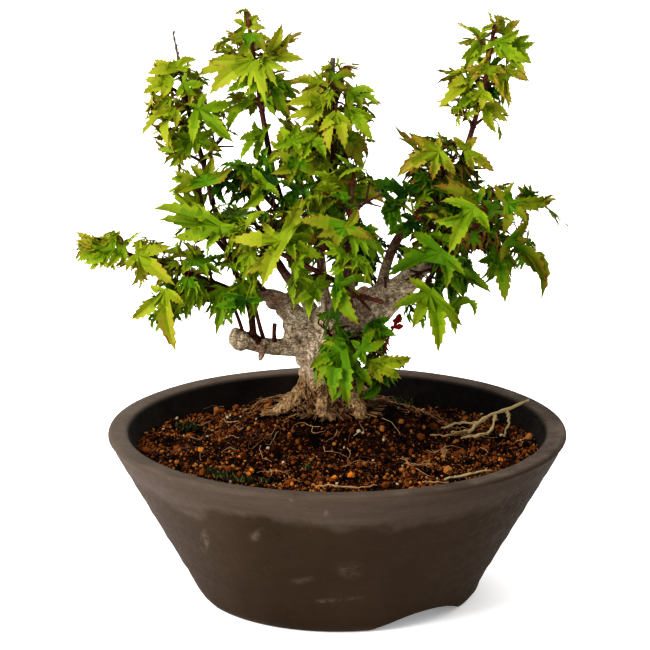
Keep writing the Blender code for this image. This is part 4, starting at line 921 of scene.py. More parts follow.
def bark_finish():
    finish = Finish("old_bark", 0.9, specular=0.1)
    age = finish.node("Attribute").outputs["Fac"]
    age.node.attribute_name = "age"
    z = finish.height_of()
    mottle = finish.grain(150, 5.0, 0.65, distortion=0.6)
    plates = finish.grain(600, 5.0, 0.7, finish.stretched(scale=(1, 1, 1.8)))
    wrinkle = finish.grain(420, 3.0, 0.6, finish.stretched(scale=(1, 1, 0.5)), 0.8)
    cracks = finish.maths("ABSOLUTE", finish.maths("SUBTRACT", wrinkle, 0.5))
    old = finish.shade(mottle, 0.34, 0.62, (0.23, 0.15, 0.085), (0.57, 0.45, 0.31))
    old = finish.shade(plates, 0.44, 0.66, old, (0.80, 0.69, 0.53), 0, 0.85)
    patch = finish.between(finish.grain(75, 3.0, 0.5), 0.56, 0.66, 0, 0.65)
    old = finish.blend(patch, old, (0.16, 0.055, 0.026))
    old = finish.shade(cracks, 0.024, 0.006, old, (0.035, 0.014, 0.006), 0, 0.75)
    fibre = finish.grain(1500, 4.0, 0.7, finish.stretched(scale=(1, 1, 5)))
    foot = finish.shade(fibre, 0.34, 0.66, (0.10, 0.052, 0.022), (0.50, 0.345, 0.19))
    old = finish.shade(z, 75 * MM, 68 * MM, old, foot)
    young = finish.shade(plates, 0.35, 0.65, (0.040, 0.013, 0.009), (0.12, 0.050, 0.028))
    skin = finish.shade(age, 0.28, 0.62, young, old)
    cut_face = finish.between(finish.distance(finish.stretched(from_pot(CUT_FACE))), 3.1 * MM, 2.5 * MM)
    cut_wood = finish.shade(plates, 0.4, 0.6, (0.30, 0.17, 0.10), (0.48, 0.33, 0.22))
    skin = finish.blend(cut_face, skin, cut_wood)
    finish.colour(skin)
    height = finish.total(plates, finish.between(cracks, 0.0, 0.05, 0, 0.6))
    finish.relief(height, 0.4 * MM)
    return finish.material


def twig_finish():
    finish = Finish("red_brown_shoot", 0.6, specular=0.2)
    tone = finish.grain(150, 4.0, 0.6)
    skin = finish.shade(tone, 0.36, 0.64, (0.036, 0.009, 0.007), (0.095, 0.030, 0.018))
    finish.colour(skin)
    finish.relief(finish.grain(1400, 3.0, 0.6), 0.1 * MM)
    return finish.material


# Pot


def wall_radius(z):
    """The radius of the pot's conical outside at a height."""
    return HEEL_R + (RIM_R - HEEL_R) * (z - HEEL_Z) / (POT_HEIGHT - LIP_ROUND - HEEL_Z)


def inside_radius(z):
    """The radius of the pot's inside at a height, between the floor and the lip."""
    low = wall_radius(FLOOR_Z) - WALL
    share = (z - FLOOR_Z) / (POT_HEIGHT - LIP_CHAMFER - FLOOR_Z)
    return low + (RIM_R - LIP_WIDTH - low) * share


def pot_profile():
    """The wall's section from the foot's outer edge up, over the lip and down to the foot's inner edge."""
    outside = [
        (FOOT_R - 0.5 * MM, 0),
        (FOOT_R + 0.2 * MM, 0.25 * MM),
        (FOOT_R + 0.33 * (HEEL_R - FOOT_R), 0.14 * HEEL_Z),
        (FOOT_R + 0.72 * (HEEL_R - FOOT_R), 0.47 * HEEL_Z),
        (HEEL_R - 0.35 * MM, 0.85 * HEEL_Z),
    ]
    for i in range(1, WALL_STEPS):
        z = HEEL_Z + (POT_HEIGHT - LIP_ROUND - HEEL_Z) * i / WALL_STEPS
        throwing = THROWING * math.sin(i * 1.9) * math.sin(i * 0.53)
        crease = CREASE if i == WALL_STEPS - 1 else 0
        outside.append((wall_radius(z) - 0.05 * MM + throwing + crease, z))
    for i in range(LIP_STEPS + 1):
        a = math.pi / 2 * i / LIP_STEPS
        r = RIM_R - LIP_ROUND * (1 - math.cos(a)) - 0.1 * MM
        outside.append((r, POT_HEIGHT - LIP_ROUND + LIP_ROUND * math.sin(a)))
    lip_inside = RIM_R - LIP_WIDTH
    top = [(RIM_R - LIP_WIDTH * 0.5, POT_HEIGHT - 0.15 * MM), (lip_inside + 1.4 * MM, POT_HEIGHT - 0.1 * MM),
           (lip_inside + 0.5 * MM, POT_HEIGHT - 0.5 * MM), (lip_inside + 0.1 * MM, POT_HEIGHT - 1.3 * MM)]
    inside = []
    for i in range(1, INSIDE_STEPS + 1):
        z = POT_HEIGHT - 1.3 * MM - (POT_HEIGHT - FLOOR_Z - 5.3 * MM) * i / INSIDE_STEPS
        inside.append((inside_radius(z) + 0.1 * MM, z))
    inside += [(inside_radius(FLOOR_Z) - 2 * MM, FLOOR_Z), (DRAIN_R, FLOOR_Z)]
    under = [(DRAIN_R, UNDERSIDE_Z), (FOOT_R - FOOT_WIDTH - 1 * MM, UNDERSIDE_Z),
             (FOOT_R - FOOT_WIDTH, UNDERSIDE_Z - 1 * MM), (FOOT_R - FOOT_WIDTH, 0.4 * MM),
             (FOOT_R - FOOT_WIDTH + 0.5 * MM, 0)]
    return outside + top + inside + under


def arch_tool(index):
    """A round bar that lies outwards under the pot, and leaves the arch between two feet."""
    turn = math.radians(FIRST_ARCH_DEG + index * 360 / ARCHES)
    out = Vector((math.sin(turn), -math.cos(turn), 0))
    centre = Vector((POT_X, 0, ARCH_HEIGHT - ARCH_R)) + out * FOOT_R
    nothing_selected()
    bpy.ops.mesh.primitive_cylinder_add(
        vertices=ARCH_SIDES, radius=ARCH_R, depth=FOOT_R, location=centre, rotation=(math.pi / 2, 0, turn)
    )
    tool = named(f"arch_tool_{index}")
    bpy.ops.object.transform_apply(location=True, rotation=True, scale=True)
    return tool


def thrown_pot():
    """A ring drawn up, over the lip and down again, as the clay is thrown, then cut into three feet."""
    profile = pot_profile()
    nothing_selected()
    bpy.ops.mesh.primitive_circle_add(vertices=POT_SIDES, radius=profile[0][0], location=(POT_X, 0, 0))
    pot = named("thrown_pot")
    edit_points()
    for ring, next_ring in zip(profile, profile[1:]):
        draw_ring(ring, next_ring)
    bpy.ops.mesh.select_all(action="DESELECT")
    bpy.ops.mesh.select_non_manifold()
    bpy.ops.mesh.bridge_edge_loops()
    close_edit()
    for index in range(ARCHES):
        tool = arch_tool(index)
        applied(pot, "BOOLEAN", operation="DIFFERENCE", object=tool, solver="MANIFOLD")
        bpy.data.objects.remove(tool)
    applied(pot, "BEVEL", width=FOOT_BEVEL, segments=2, limit_method="ANGLE", angle_limit=math.radians(50))
    points = points_of(pot)
    for point in points:
        out = Vector((point[0] - POT_X, point[1], 0))
        if out.length < DRAIN_R + 1 * MM or point[2] < FOOT_BEVEL:
            continue
        p = Vector(point)
        swell = SWELL * noise.noise(p * SWELL_SCALE) + SKIN * noise.noise(p * SKIN_SCALE)
        point[:2] += np.array((out.normalized() * (swell - POT_INSET) * MM)[:2])
        if point[2] > POT_HEIGHT - LIP_DEPTH:
            point[2] += (LIP_WAVE * noise.noise(p * LIP_WAVE_SCALE) - POT_INSET) * MM
    put_points(pot, points)
    take(pot)
    bpy.ops.object.shade_smooth_by_angle(angle=math.radians(40))
    pot.data.materials.clear()
    pot.data.materials.append(clay_finish())
    return carried(pot, "clay", "pot")


# Soil


def from_mound(x, y):
    """How far a place, measured from the pot's axis, is from the mound's middle."""
    return math.hypot(x - MOUND_CENTRE[0], y - MOUND_CENTRE[1])


def soil_height(x, y):
    """The top of the soil, from a place measured from the pot's axis."""
    bed = SOIL_Z - SOIL_FALL * y
    t = min(max((MOUND_FOOT_R - from_mound(x, y)) / (MOUND_FOOT_R - MOUND_FLAT_R), 0), 1)
    return bed + (MOUND_Z - bed) * t * t * (3 - 2 * t)


def lump_at(x, y):
    """Low waves in the bed, which fade towards the mound and the wall."""
    from_wall = inside_radius(SOIL_Z) - math.hypot(x, y)
    by_mound = min(max((from_mound(x, y) - MOUND_FLAT_R) / LUMP_SPACING, 0), 1)
    by_wall = min(max(from_wall / LUMP_SPACING, 0), 1)
    along_wave, across_wave = (x + 0.5 * y) / LUMP_SPACING, (y - 0.5 * x) / LUMP_SPACING
    wave = math.sin(math.pi * along_wave) * math.sin(math.pi * across_wave)
    return LUMP_HEIGHT * by_mound * by_wall * wave


def bed_height(x, y):
    """The top of the soil with its low waves."""
    return soil_height(x, y) + lump_at(x, y)


def ground(x, y):
    """The lumpy top of the bed under the granules."""
    rough = 0.9 * noise.noise(Vector((x, y, 0)) * 170) + 0.5 * noise.noise(Vector((x, y, 3)) * 520) - 0.9
    return bed_height(x, y) + rough * MM


def soil_bed():
    """The dark crumb under the granules: a disc drawn up along the wall, then in over the mound."""
    r, z = ring = (inside_radius(FLOOR_Z) - 2.6 * MM, FLOOR_Z + 0.4 * MM)
    nothing_selected()
    bpy.ops.mesh.primitive_circle_add(vertices=BED_SIDES, radius=r, fill_type="NGON", location=(POT_X, 0, z))
    bed = named("soil_bed")
    edit_points()
    for z in BED_HEIGHTS:
        next_ring = (inside_radius(z) - BED_CLEAR, z)
        draw_ring(ring, next_ring)
        ring = next_ring
    for _ in range(BED_RINGS):
        bpy.ops.mesh.inset(thickness=ring[0] / (BED_RINGS + 2))
    close_edit()
    points = points_of(bed)
    for point in points:
        if point[2] > BED_TOP:
            point[2] = ground(point[0] - POT_X, point[1])
    put_points(bed, points)
    take(bed)
    bpy.ops.object.shade_smooth()
    bed.data.materials.append(soil_finish())
    return carried(bed, "soil", "soil")


def granule_shapes(coarse):
    """Rough closed lumps, modelled once and then copied: points and faces of each."""
    shapes = []
    for index in range(6):
        nothing_selected()
        if coarse:
            bpy.ops.mesh.primitive_uv_sphere_add(segments=7, ring_count=5, radius=1)
        else:
            bpy.ops.mesh.primitive_ico_sphere_add(subdivisions=1, radius=1)
        lump = bpy.context.active_object
        points = points_of(lump)
        rng = random.Random(f"lump {index} {coarse}")
        squash = np.array([rng.uniform(0.8, 1.15), rng.uniform(0.75, 1.05), rng.uniform(0.62, 0.9)])
        shift = Vector((index * 7.3, 1.7, 4.1))
        for i, p in enumerate(points):
            points[i] = p * (1 + 0.34 * noise.noise(Vector(p) * 1.3 + shift)) * squash
        shapes.append((points, [tuple(f.vertices) for f in lump.data.polygons]))
        bpy.data.objects.remove(lump)
    return shapes


def shade_and_damp_at(x, y):
    """How damp the soil is at a place, in patches, with a broad painted shade by the trunk's right side, where the
    crown's shadow falls.
    """
    patches = noise.noise(Vector((x, y, 7 * MM)) * 120) + 0.5 * noise.noise(Vector((x, y, 9 * MM)) * 300)
    # painted shade: the crown's shadow on the soil right of the trunk, as darker granules
    return patches + 0.55 * math.exp(-((x - 10 * MM) / (26 * MM)) ** 2 - ((y - 6 * MM) / (22 * MM)) ** 2)


def granules():
    """Granules and crumbs strewn over the bed, larger ones first, the larger ones clear of each other."""
    rng = random.Random(SEED)
    coarse, fine = granule_shapes(True), granule_shapes(False)
    heaps = {name: Heap() for name in ("soil_granules", "soil_crumbs", "soil_grit")}
    placed = np.zeros((0, 3))
    for low, high, tries in GRANULE_SIZES:
        for _ in range(tries):
            a = rng.uniform(0, math.tau)
            size = rng.uniform(low, high) * MM
            r = math.sqrt(rng.random()) * GRANULES_R
            x, y = r * math.cos(a), r * math.sin(a)
            if r > inside_radius(soil_height(x, y)) - size - 0.3 * MM:
                continue
            if from_mound(x, y) < GRANULES_FROM_TRUNK:
                continue
            if size > APART_SIZE:
                gap = np.hypot(placed[:, 0] - x, placed[:, 1] - y) - (placed[:, 2] + size) * 0.8
                if len(placed) and gap.min() < 0:
                    continue
                placed = np.vstack([placed, (x, y, size)])
            is_coarse = size > COARSE_SIZE
            shape, faces = rng.choice(coarse if is_coarse else fine)
            turn = np.array(Euler([rng.uniform(0, math.tau) for _ in range(3)]).to_matrix())
            rise = rng.uniform(-0.3, 0.5) * size
            centre = np.array((x + POT_X, y, ground(x, y) + rise))
            shade_and_damp = shade_and_damp_at(x, y)
            weights = [
                0 if size < APART_SIZE and name in GRANULES_ONLY else weight * share ** (4 * shade_and_damp)
                for (name, _, weight), share in zip(GRANULE_COLOURS, SHADE_AND_DAMP_SHARES)
            ]
            kind = rng.choices(range(len(weights)), weights)[0]
            heap = heaps["soil_granules" if is_coarse else "soil_crumbs" if high > GRIT_SIZE else "soil_grit"]
            heap.add(shape @ turn.T * size + centre, faces, kind)
    finishes = [
        plain_finish("granule_" + name, colour, 0.95, 1600, 0.4 * MM, 0.08) for name, colour, _ in GRANULE_COLOURS
    ]
    for name, heap in heaps.items():
        carried(heap.piece(name, finishes), "soil")


def loose_strand(rng):
    """The path of a fine root that wanders over the soil, until it comes near the wall."""
    a = rng.uniform(0, math.tau)
    r = rng.uniform(11, 44) * MM if rng.random() < 0.7 else rng.uniform(30, 64) * MM
    x = MOUND_CENTRE[0] * 0.5 + r * math.cos(a)
    y = MOUND_CENTRE[1] * 0.3 + r * math.sin(a)
    heading = a + rng.uniform(-1.3, 1.3)
    step = rng.uniform(1.0, 2.6) * MM
    path = []
    for i in range(LOOSE_STRAND_STEPS + 1):
        if math.hypot(x, y) > STRANDS_R:
            break
        lift = (0.9 + 1.1 * math.sin(i * 1.1 + a * 5) * rng.random()) * MM
        path.append(Vector((x + POT_X, y, bed_height(x, y) + lift)))
        heading += rng.uniform(-0.7, 0.7)
        x += step * math.cos(heading)
        y += step * math.sin(heading)
    return path


def trunk_strand(rng, trunk):
    """The path of a fine root down the trunk's foot and out on the soil."""
    a = rng.uniform(0, math.tau)
    top = rng.uniform(*STRAND_TOPS)
    path = []
    for i in range(TRUNK_STRAND_STEPS + 1):
        z = top + (STRAND_FOOT - top) * i / TRUNK_STRAND_STEPS
        centre = from_pot(along(trunk, (z - TRUNK_FOOT) / TRUNK_LENGTH)[0])
        out = trunk_radius_at(z, a) + 0.25 * MM + rng.uniform(-0.1, 0.5) * MM
        turn = a + 0.12 * math.sin(i * 1.7 + a * 9)
        path.append(centre + Vector((math.cos(turn) * out, math.sin(turn) * out, 0)))
    end = path[-1]
    x, y = end.x - POT_X, end.y
    away = Vector((math.cos(a), math.sin(a), 0)) * rng.uniform(1, 7) * MM
    return [*path, Vector((end.x + away.x, end.y + away.y, soil_height(x + away.x, y + away.y) + 0.3 * MM))]


def strands():
    """Fine roots and straws: over the soil, and down the foot of the trunk."""
    rng = random.Random(SEED + 1)
    heap = Heap()
    for _ in range(LOOSE_STRANDS):
        path = loose_strand(rng)
        if len(path) > 3:
            heap.tube(path, (0.18 * MM, 0.08 * MM), 3, rng.choices((0, 1, 2), LOOSE_STRAND_SHARES)[0])
    trunk = [Vector(p) for p in LIMBS["trunk"].points]
    for _ in range(TRUNK_STRANDS):
        path = trunk_strand(rng, trunk)
        heap.tube(path, (0.23 * MM, 0.12 * MM), 3, rng.choices((0, 1, 2), TRUNK_STRAND_SHARES)[0])
    for points, radii, kind in DRY_ROOTS:
        path = smooth_path([from_pot(p) for p in points], 5)
        path = [p + Vector([rng.uniform(-0.35, 0.35) * MM for _ in range(3)]) for p in path]
        thick = [r * MM * rng.uniform(0.55, 1.25) for r in spread(radii, len(path))]
        heap.tube(path, thick, 5, kind)
    finishes = [plain_finish(name, colour, 0.9, 900, 0.1 * MM, 0.2) for name, colour in STRAND_COLOURS]
    return carried(heap.piece("fine_roots", finishes), "bark")


def moss():
    """Small cushions of moss by the rim: tufts of blades."""
    rng = random.Random(SEED + 2)
    heap = Heap()
    for x, y, size, count in MOSS_TUFTS:
        for _ in range(count):
            a = rng.uniform(0, math.tau)
            r = math.sqrt(rng.random()) * size
            px, py = x + r * math.cos(a), y + r * math.sin(a)
            if math.hypot(px, py) > MOSS_R:
                continue
            foot = from_pot((px, py, bed_height(px * MM, py * MM) / MM + 0.2))
            lean = Vector((rng.uniform(-0.6, 0.6), rng.uniform(-0.6, 0.6), 1)).normalized()
            tip = foot + lean * rng.uniform(0.8, 1.9) * MM
            heap.tube(halved(foot, tip), (0.3 * MM, 0.34 * MM, 0.05 * MM), 4, rng.choice((0, 0, 1)))
    finishes = [plain_finish("moss_" + name, colour, 0.9, 1500, 0.1 * MM, 0.2) for name, colour in MOSS_COLOURS]
    return carried(heap.piece("moss", finishes), "soil")


# Trunk and boughs


def ridge_at(angle):
    """How far the root ridges stand out in a direction, at the foot."""
    total = 0.0
    for degrees, height, width in ROOT_RIDGES:
        off = math.remainder(angle - math.radians(degrees), math.tau)
        total += height * math.exp(-((off / math.radians(width)) ** 2))
    return total


def trunk_at(z):
    """The trunk's centre and radius at a height in mm, over its upright foot."""
    x, y, heights = np.array(LIMBS["trunk"].points, float).T
    radius = np.interp(z, heights, LIMBS["trunk"].radii)
    return from_pot((np.interp(z, heights, x), np.interp(z, heights, y), z)), radius * MM


def trunk_radius_at(z, angle):
    radius = trunk_at(z)[1]
    above = (z - TRUNK_FOOT) * MM
    flare = max(0.0, 1 - above / FLARE_HEIGHT) ** 2
    return radius + flare * ridge_at(angle)


def drawn_limb(path, radii):
    """A limb drawn as a curve with a round bevel, and made a mesh."""
    nothing_selected()
    bpy.ops.curve.primitive_nurbs_path_add(location=(0, 0, 0))
    curve = bpy.context.active_object
    curve.data.splines.clear()
    spline = curve.data.splines.new("POLY")
    spline.points.add(len(path) - 1)
    for point, place, radius in zip(spline.points, path, spread(radii, len(path))):
        point.co = (*place, 1)
        point.radius = radius / MM
    curve.data.bevel_depth = 1 * MM
    curve.data.bevel_resolution = 4
    curve.data.use_fill_caps = True
    take(curve)
    bpy.ops.object.convert(target="MESH")
    return bpy.context.active_object


def root_limbs():
    """The root ridges, each a limb from the trunk's foot out and down into the soil."""
    pieces = []
    for index, (degrees, height, _) in enumerate(ROOT_RIDGES):
        a = math.radians(degrees)
        out = Vector((math.cos(a), math.sin(a), 0))
        points = []
        for z, share in ((72, 0.45), (66, 0.75), (61.5, 1.0), (58.6, 1.0), (56.8, 1.0)):
            centre, radius = trunk_at(max(z, TRUNK_FOOT))
            reach = radius * share + height * max(0.0, (68 - z) / 9.5) ** 1.6
            points.append(Vector((centre.x, centre.y, z * MM)) + out * reach)
        pieces.append(drawn_limb(smooth_path(points, 4), (2.2 * MM, 2.6 * MM, 2.4 * MM, 1.9 * MM, 1.0 * MM)))
        side = Vector((-out.y, out.x, 0)) * (1 if index % 2 else -1)
        fork = [points[2], points[3] + side * 2.2 * MM, points[4] + side * 4.5 * MM + out * 2 * MM]
        pieces.append(drawn_limb(smooth_path(fork, 4), (1.6 * MM, 1.3 * MM, 0.8 * MM)))
    return pieces


def grain_at(place, around, up, shift=0):
    """Noise at a place, with a scale round the trunk and another up along it."""
    x, y, z = place
    return noise.noise(Vector((x * around + shift, y * around, z * up)))


def bark_rise(place, width):
    """How far the bark stands out at a place on a limb of this width: lumps, cracks, and fibres on the foot."""
    crack = max(0.0, 1 - abs(grain_at(place, 300, 150, 5)) / CRACK_WIDTH)
    rise = (0.085 * grain_at(place, 170, 110) + 0.05 * grain_at(place, 420, 260) - 0.09 * crack) * width
    if place[2] < FIBRE_TOP:
        rise += 0.3 * MM * grain_at(place, 1000, 140) * min(1.0, (FIBRE_TOP - place[2]) / FIBRE_FADE)
    return rise


def tree_limbs():
    """Trunk, boughs, roots and stubs, melted into one skin that is then given its bark."""
    pieces = [drawn_limb(limb_path(name), limb_radii(name)) for name in LIMBS]
    for points, radii in STUBS:
        pieces.append(drawn_limb(smooth_path([from_pot(p) for p in points], 3), [r * MM for r in radii]))
    pieces += root_limbs()
    for place, size in KNOBS:
        nothing_selected()
        bpy.ops.mesh.primitive_uv_sphere_add(segments=16, ring_count=10, radius=size * MM, location=from_pot(place))
        pieces.append(bpy.context.active_object)
    wood = joined("trunk_and_boughs", pieces)
    applied(wood, "REMESH", mode="VOXEL", voxel_size=BARK_VOXEL)
    applied(wood, "SMOOTH", factor=0.5, iterations=3)
    places, widths = (np.concatenate(parts) for parts in zip(*map(limb_places, LIMBS)))
    points = points_of(wood)
    near = np.concatenate([
        np.linalg.norm(chunk[:, None] - places[None], axis=2).argmin(axis=1) for chunk in np.array_split(points, 40)
    ])
    local = widths[near]
    normals = np.zeros(len(points) * 3, np.float32)
    wood.data.vertices.foreach_get("normal", normals)
    normals = normals.reshape(-1, 3)
    rises = np.array([bark_rise(place, width) for place, width in zip(points, local)])
    put_points(wood, points + normals * rises[:, None])
    age = wood.data.attributes.new("age", "FLOAT", "POINT")
    age.data.foreach_set("value", np.clip((local / MM - 0.7) / 2.6, 0, 1).astype(np.float32))
    take(wood)
    bpy.ops.object.shade_smooth()
    wood.data.materials.append(bark_finish())
    return carried(wood, "bark", *LIMBS)


# Foliage


def leaf_pattern():
    """A toothed blade of seven lobes, flat: its points, each one's lobe and offset from that lobe's rib, and faces.

    Faces are marked 0 in the blade, 1 on its margin and 2 at a lobe's tip.
    """
    points = [(0.0, 0.0)]
    lobes = [0]
    offsets = [0.0]
    faces = []
    marks = []
    order = [(sign, k) for sign, k in ((-1, 3), (-1, 2), (-1, 1), (1, 0), (1, 1), (1, 2), (1, 3))]

    def point(r, degrees, off, lobe):
        a = math.radians(degrees)
        points.append((r * math.cos(a) - off * math.sin(a), r * math.sin(a) + off * math.cos(a)))
        lobes.append(lobe)
        offsets.append(off)
        return len(points) - 1

    notches = [point(0.10, -158, 0, 0)]
    for (sign, k), (next_sign, next_k) in zip(order, order[1:]):
        here = sign * LOBES[k][0]
        there = next_sign * LOBES[next_k][0]
        notches.append(point(LOBES[max(k, next_k)][3], (here + there) / 2, 0, order.index((sign, k))))
    notches.append(point(0.10, 158, 0, 6))
    for lobe, (sign, k) in enumerate(order):
        degrees, length, width, _ = LOBES[k]
        degrees *= sign
        tip = point(length, degrees, 0, lobe)
        middle = point(length * 0.45, degrees, 0, lobe)
        far = point(length * 0.73, degrees, 0, lobe) if k < 3 else None
        for way, notch in ((-1, notches[lobe]), (1, notches[lobe + 1])):
            if k < 3:
                tooth, dent, second, last = [
                    point(length * r, degrees, way * width * w, lobe) for r, w in LOBE_SIDE
                ]
                inner = point(length * LOBE_INNER[0], degrees, way * width * LOBE_INNER[1], lobe)
                made = [((0, middle, inner, notch), 0), ((middle, far, inner), 0), ((notch, inner, dent, tooth), 1),
                        ((inner, far, second, dent), 1), ((far, tip, last, second), 2)]
            else:
                tooth = point(length * 0.55, degrees, way * width, lobe)
                made = [((0, middle, tooth, notch), 0), ((middle, tip, tooth), 1)]
            for face, mark in made:
                faces.append(face if way > 0 else face[::-1])
                marks.append(mark)
    return np.array(points), np.array(lobes), np.array(offsets), faces, marks


PATTERN = leaf_pattern()


def blade(rng, size, base, forward, normal, arch):
    """One blade's points: each lobe arched its own way, folded at its rib, swung and crumpled a little."""
    flat, lobes, offsets, _, _ = PATTERN

    def each_lobe(low, high):
        return np.array([rng.uniform(low, high) for _ in range(7)])[lobes]

    r = np.hypot(flat[:, 0], flat[:, 1]) * each_lobe(0.78, 1.12)
    turn = np.arctan2(flat[:, 1], flat[:, 0]) * rng.uniform(0.62, 1.02) + each_lobe(-0.13, 0.13)
    bends = arch * each_lobe(0.2, 1.9) + 0.05
    fold = rng.uniform(0.35, 1.0) * rng.choice((1, 1, 1, -0.6))
    flat_r = np.sin(bends * r) / bends
    drop = (1 - np.cos(bends * r)) / bends
    crumple = each_lobe(0.02, 0.09) * np.sin(8 * r + each_lobe(0, math.tau)) * r
    x = flat_r * np.cos(turn)
    y = flat_r * np.sin(turn)
    z = fold * np.abs(offsets) - drop + crumple
    axes = np.array([forward, normal.cross(forward), normal])
    return (np.stack([x, y, z], axis=1) @ axes) * size + np.array(base)


def in_order(base, tips):
    """The tips in order round the base, beginning after the widest gap."""

    def way(tip):
        return math.atan2((tip - base).z, (tip - base).x)

    around = sorted(tips, key=way)
    gaps = [(way(after) - way(tip)) % math.tau for tip, after in zip(around, around[1:] + around[:1])]
    first = (gaps.index(max(gaps)) + 1) % len(around)
    return around[first:] + around[:first]


def notches_beside(base, ribs, normal):
    """The notches between the ribs, and one beside the first and the last."""
    notches = []
    for before, after in zip([None, *ribs], [*ribs, None]):
        if before and after:
            way = before.normalized() + after.normalized()
            if way.length < 0.3:
                way = before.cross(normal)
            notches.append(base + way.normalized() * LARGE_LEAF_NOTCH * min(before.length, after.length))
        else:
            rib = before or after
            aside = normal.cross(rib) if before else rib.cross(normal)
            notches.append(base + (aside.normalized() * 0.13 - rib.normalized() * 0.06) * rib.length)
    return notches


def large_leaf(rng, base, tips, normal):
    """A leaf whose lobes reach from its stalk's end to these tips: points, faces, and each face's place in its
    colours, 0 to 4."""
    ribs = [tip - base for tip in in_order(base, tips)]
    points = [base, *notches_beside(base, ribs, normal)]
    faces = []
    marks = []
    for lobe, rib in enumerate(ribs):
        long = rib.length
        side = normal.cross(rib).normalized()
        rise = rib.cross(side).normalized()
        roll = rng.gauss(0, 0.35)
        cos, sin = math.cos(roll), math.sin(roll)
        side, rise = side * cos + rise * sin, rise * cos - side * sin
        half = LARGE_LEAF_WIDTH[0] * long + LARGE_LEAF_WIDTH[1]
        bow = rng.uniform(0.03, 0.16) * long
        swing = rng.uniform(-0.09, 0.09) * long
        fold = rng.uniform(0.3, 0.95)
        wave = rng.uniform(0, math.tau)
        ripe = rng.uniform(-0.6, 0.5)

        def rib_at(share):
            arch = 4 * share * (1 - share)
            return base + rib * share + rise * bow * arch + side * swing * arch

        start = len(points)
        shares = [share for share, _ in LARGE_LEAF_SIDE]
        points += [rib_at(share) for share in shares]
        points.append(rib_at(1))
        spine = [0, *range(start, start + len(shares) + 1)]
        for way, notch in ((-1, 1 + lobe), (1, 2 + lobe)):
            inner = [notch]
            outer = [notch]
            for k, (share, wide) in enumerate(LARGE_LEAF_SIDE):
                off = half * wide * rng.uniform(0.88, 1.1)
                curl = 0.05 * long * math.sin(5 * share + wave) * share
                for part, line in ((LARGE_LEAF_INNER, inner), (1, outer)):
                    lift = rise * (fold * off * part + curl * part)
                    points.append(rib_at(share) + side * way * off * part + lift)
                    line.append(len(points) - 1)
            count = len(LARGE_LEAF_SIDE)
            for k in range(count + 1):
                tone = ripe + (shares[k - 1] if k else 0.1) * 3.0 + rng.uniform(-0.25, 0.25)
                last = k == count
                inner_next = spine[k + 1] if last else inner[k + 1]
                outer_next = spine[k + 1] if last else outer[k + 1]
                near = [spine[k], spine[k + 1], inner_next, inner[k]]
                far = [inner[k], inner_next, outer_next, outer[k]]
                for face, mark in ((near, tone - 0.2), (far, tone + 0.9)):
                    face = list(dict.fromkeys(face))
                    if len(face) > 2:
                        faces.append(tuple(face if way > 0 else face[::-1]))
                        marks.append(min(max(round(mark), 0), 4))
    return points, faces, marks


class Spaces:
    """Which space each point belongs to: that of the mass whose stem is nearest, for the size of its reach."""

    def __init__(self):
        self.stems = {name: dense(stem_of(name)) for name in MASSES}
        self.limbs = [limb_places(name) for name in LIMBS]

    @staticmethod
    def distances(points, places):
        return np.linalg.norm(points[:, None] - places[None], axis=2)

    def share(self, points, name):
        """How far points are from a mass's stem, for each unit of its reach."""
        return self.distances(points, self.stems[name]).min(axis=1) / (MASSES[name].reach * MM)

    def holds(self, points, name):
        """Whether all the points are in the mass's own space, and clear of the limbs and the soil."""
        points = np.array(points)
        own = self.share(points, name)
        if own.max() > 1:
            return False
        for other in MASSES:
            if other != name and (self.share(points, other) < own - INTERLOCK).any():
                return False
        for places, radii in self.limbs:
            if (self.distances(points, places) < radii + LEAF_CLEAR).any():
                return False
        return points[:, 2].min() > MOUND_Z + LEAF_CLEAR


def stands_before(points, place, width, start=0.0):
    """Whether any of the points stands in the sight line from a place towards the front."""
    away = points - np.array(place)
    ahead = away @ np.array(TO_FRONT)
    aside = np.linalg.norm(away - ahead[:, None] * np.array(TO_FRONT), axis=1)
    return ((ahead > start) & (aside < width)).any()


def fills_sky(points):
    """Whether any of the points shows where the sky should."""
    seen = in_view(points)
    return any((np.hypot(seen[:, 0] - x, seen[:, 1] - y) < wide).any() for x, y, wide in SKY)


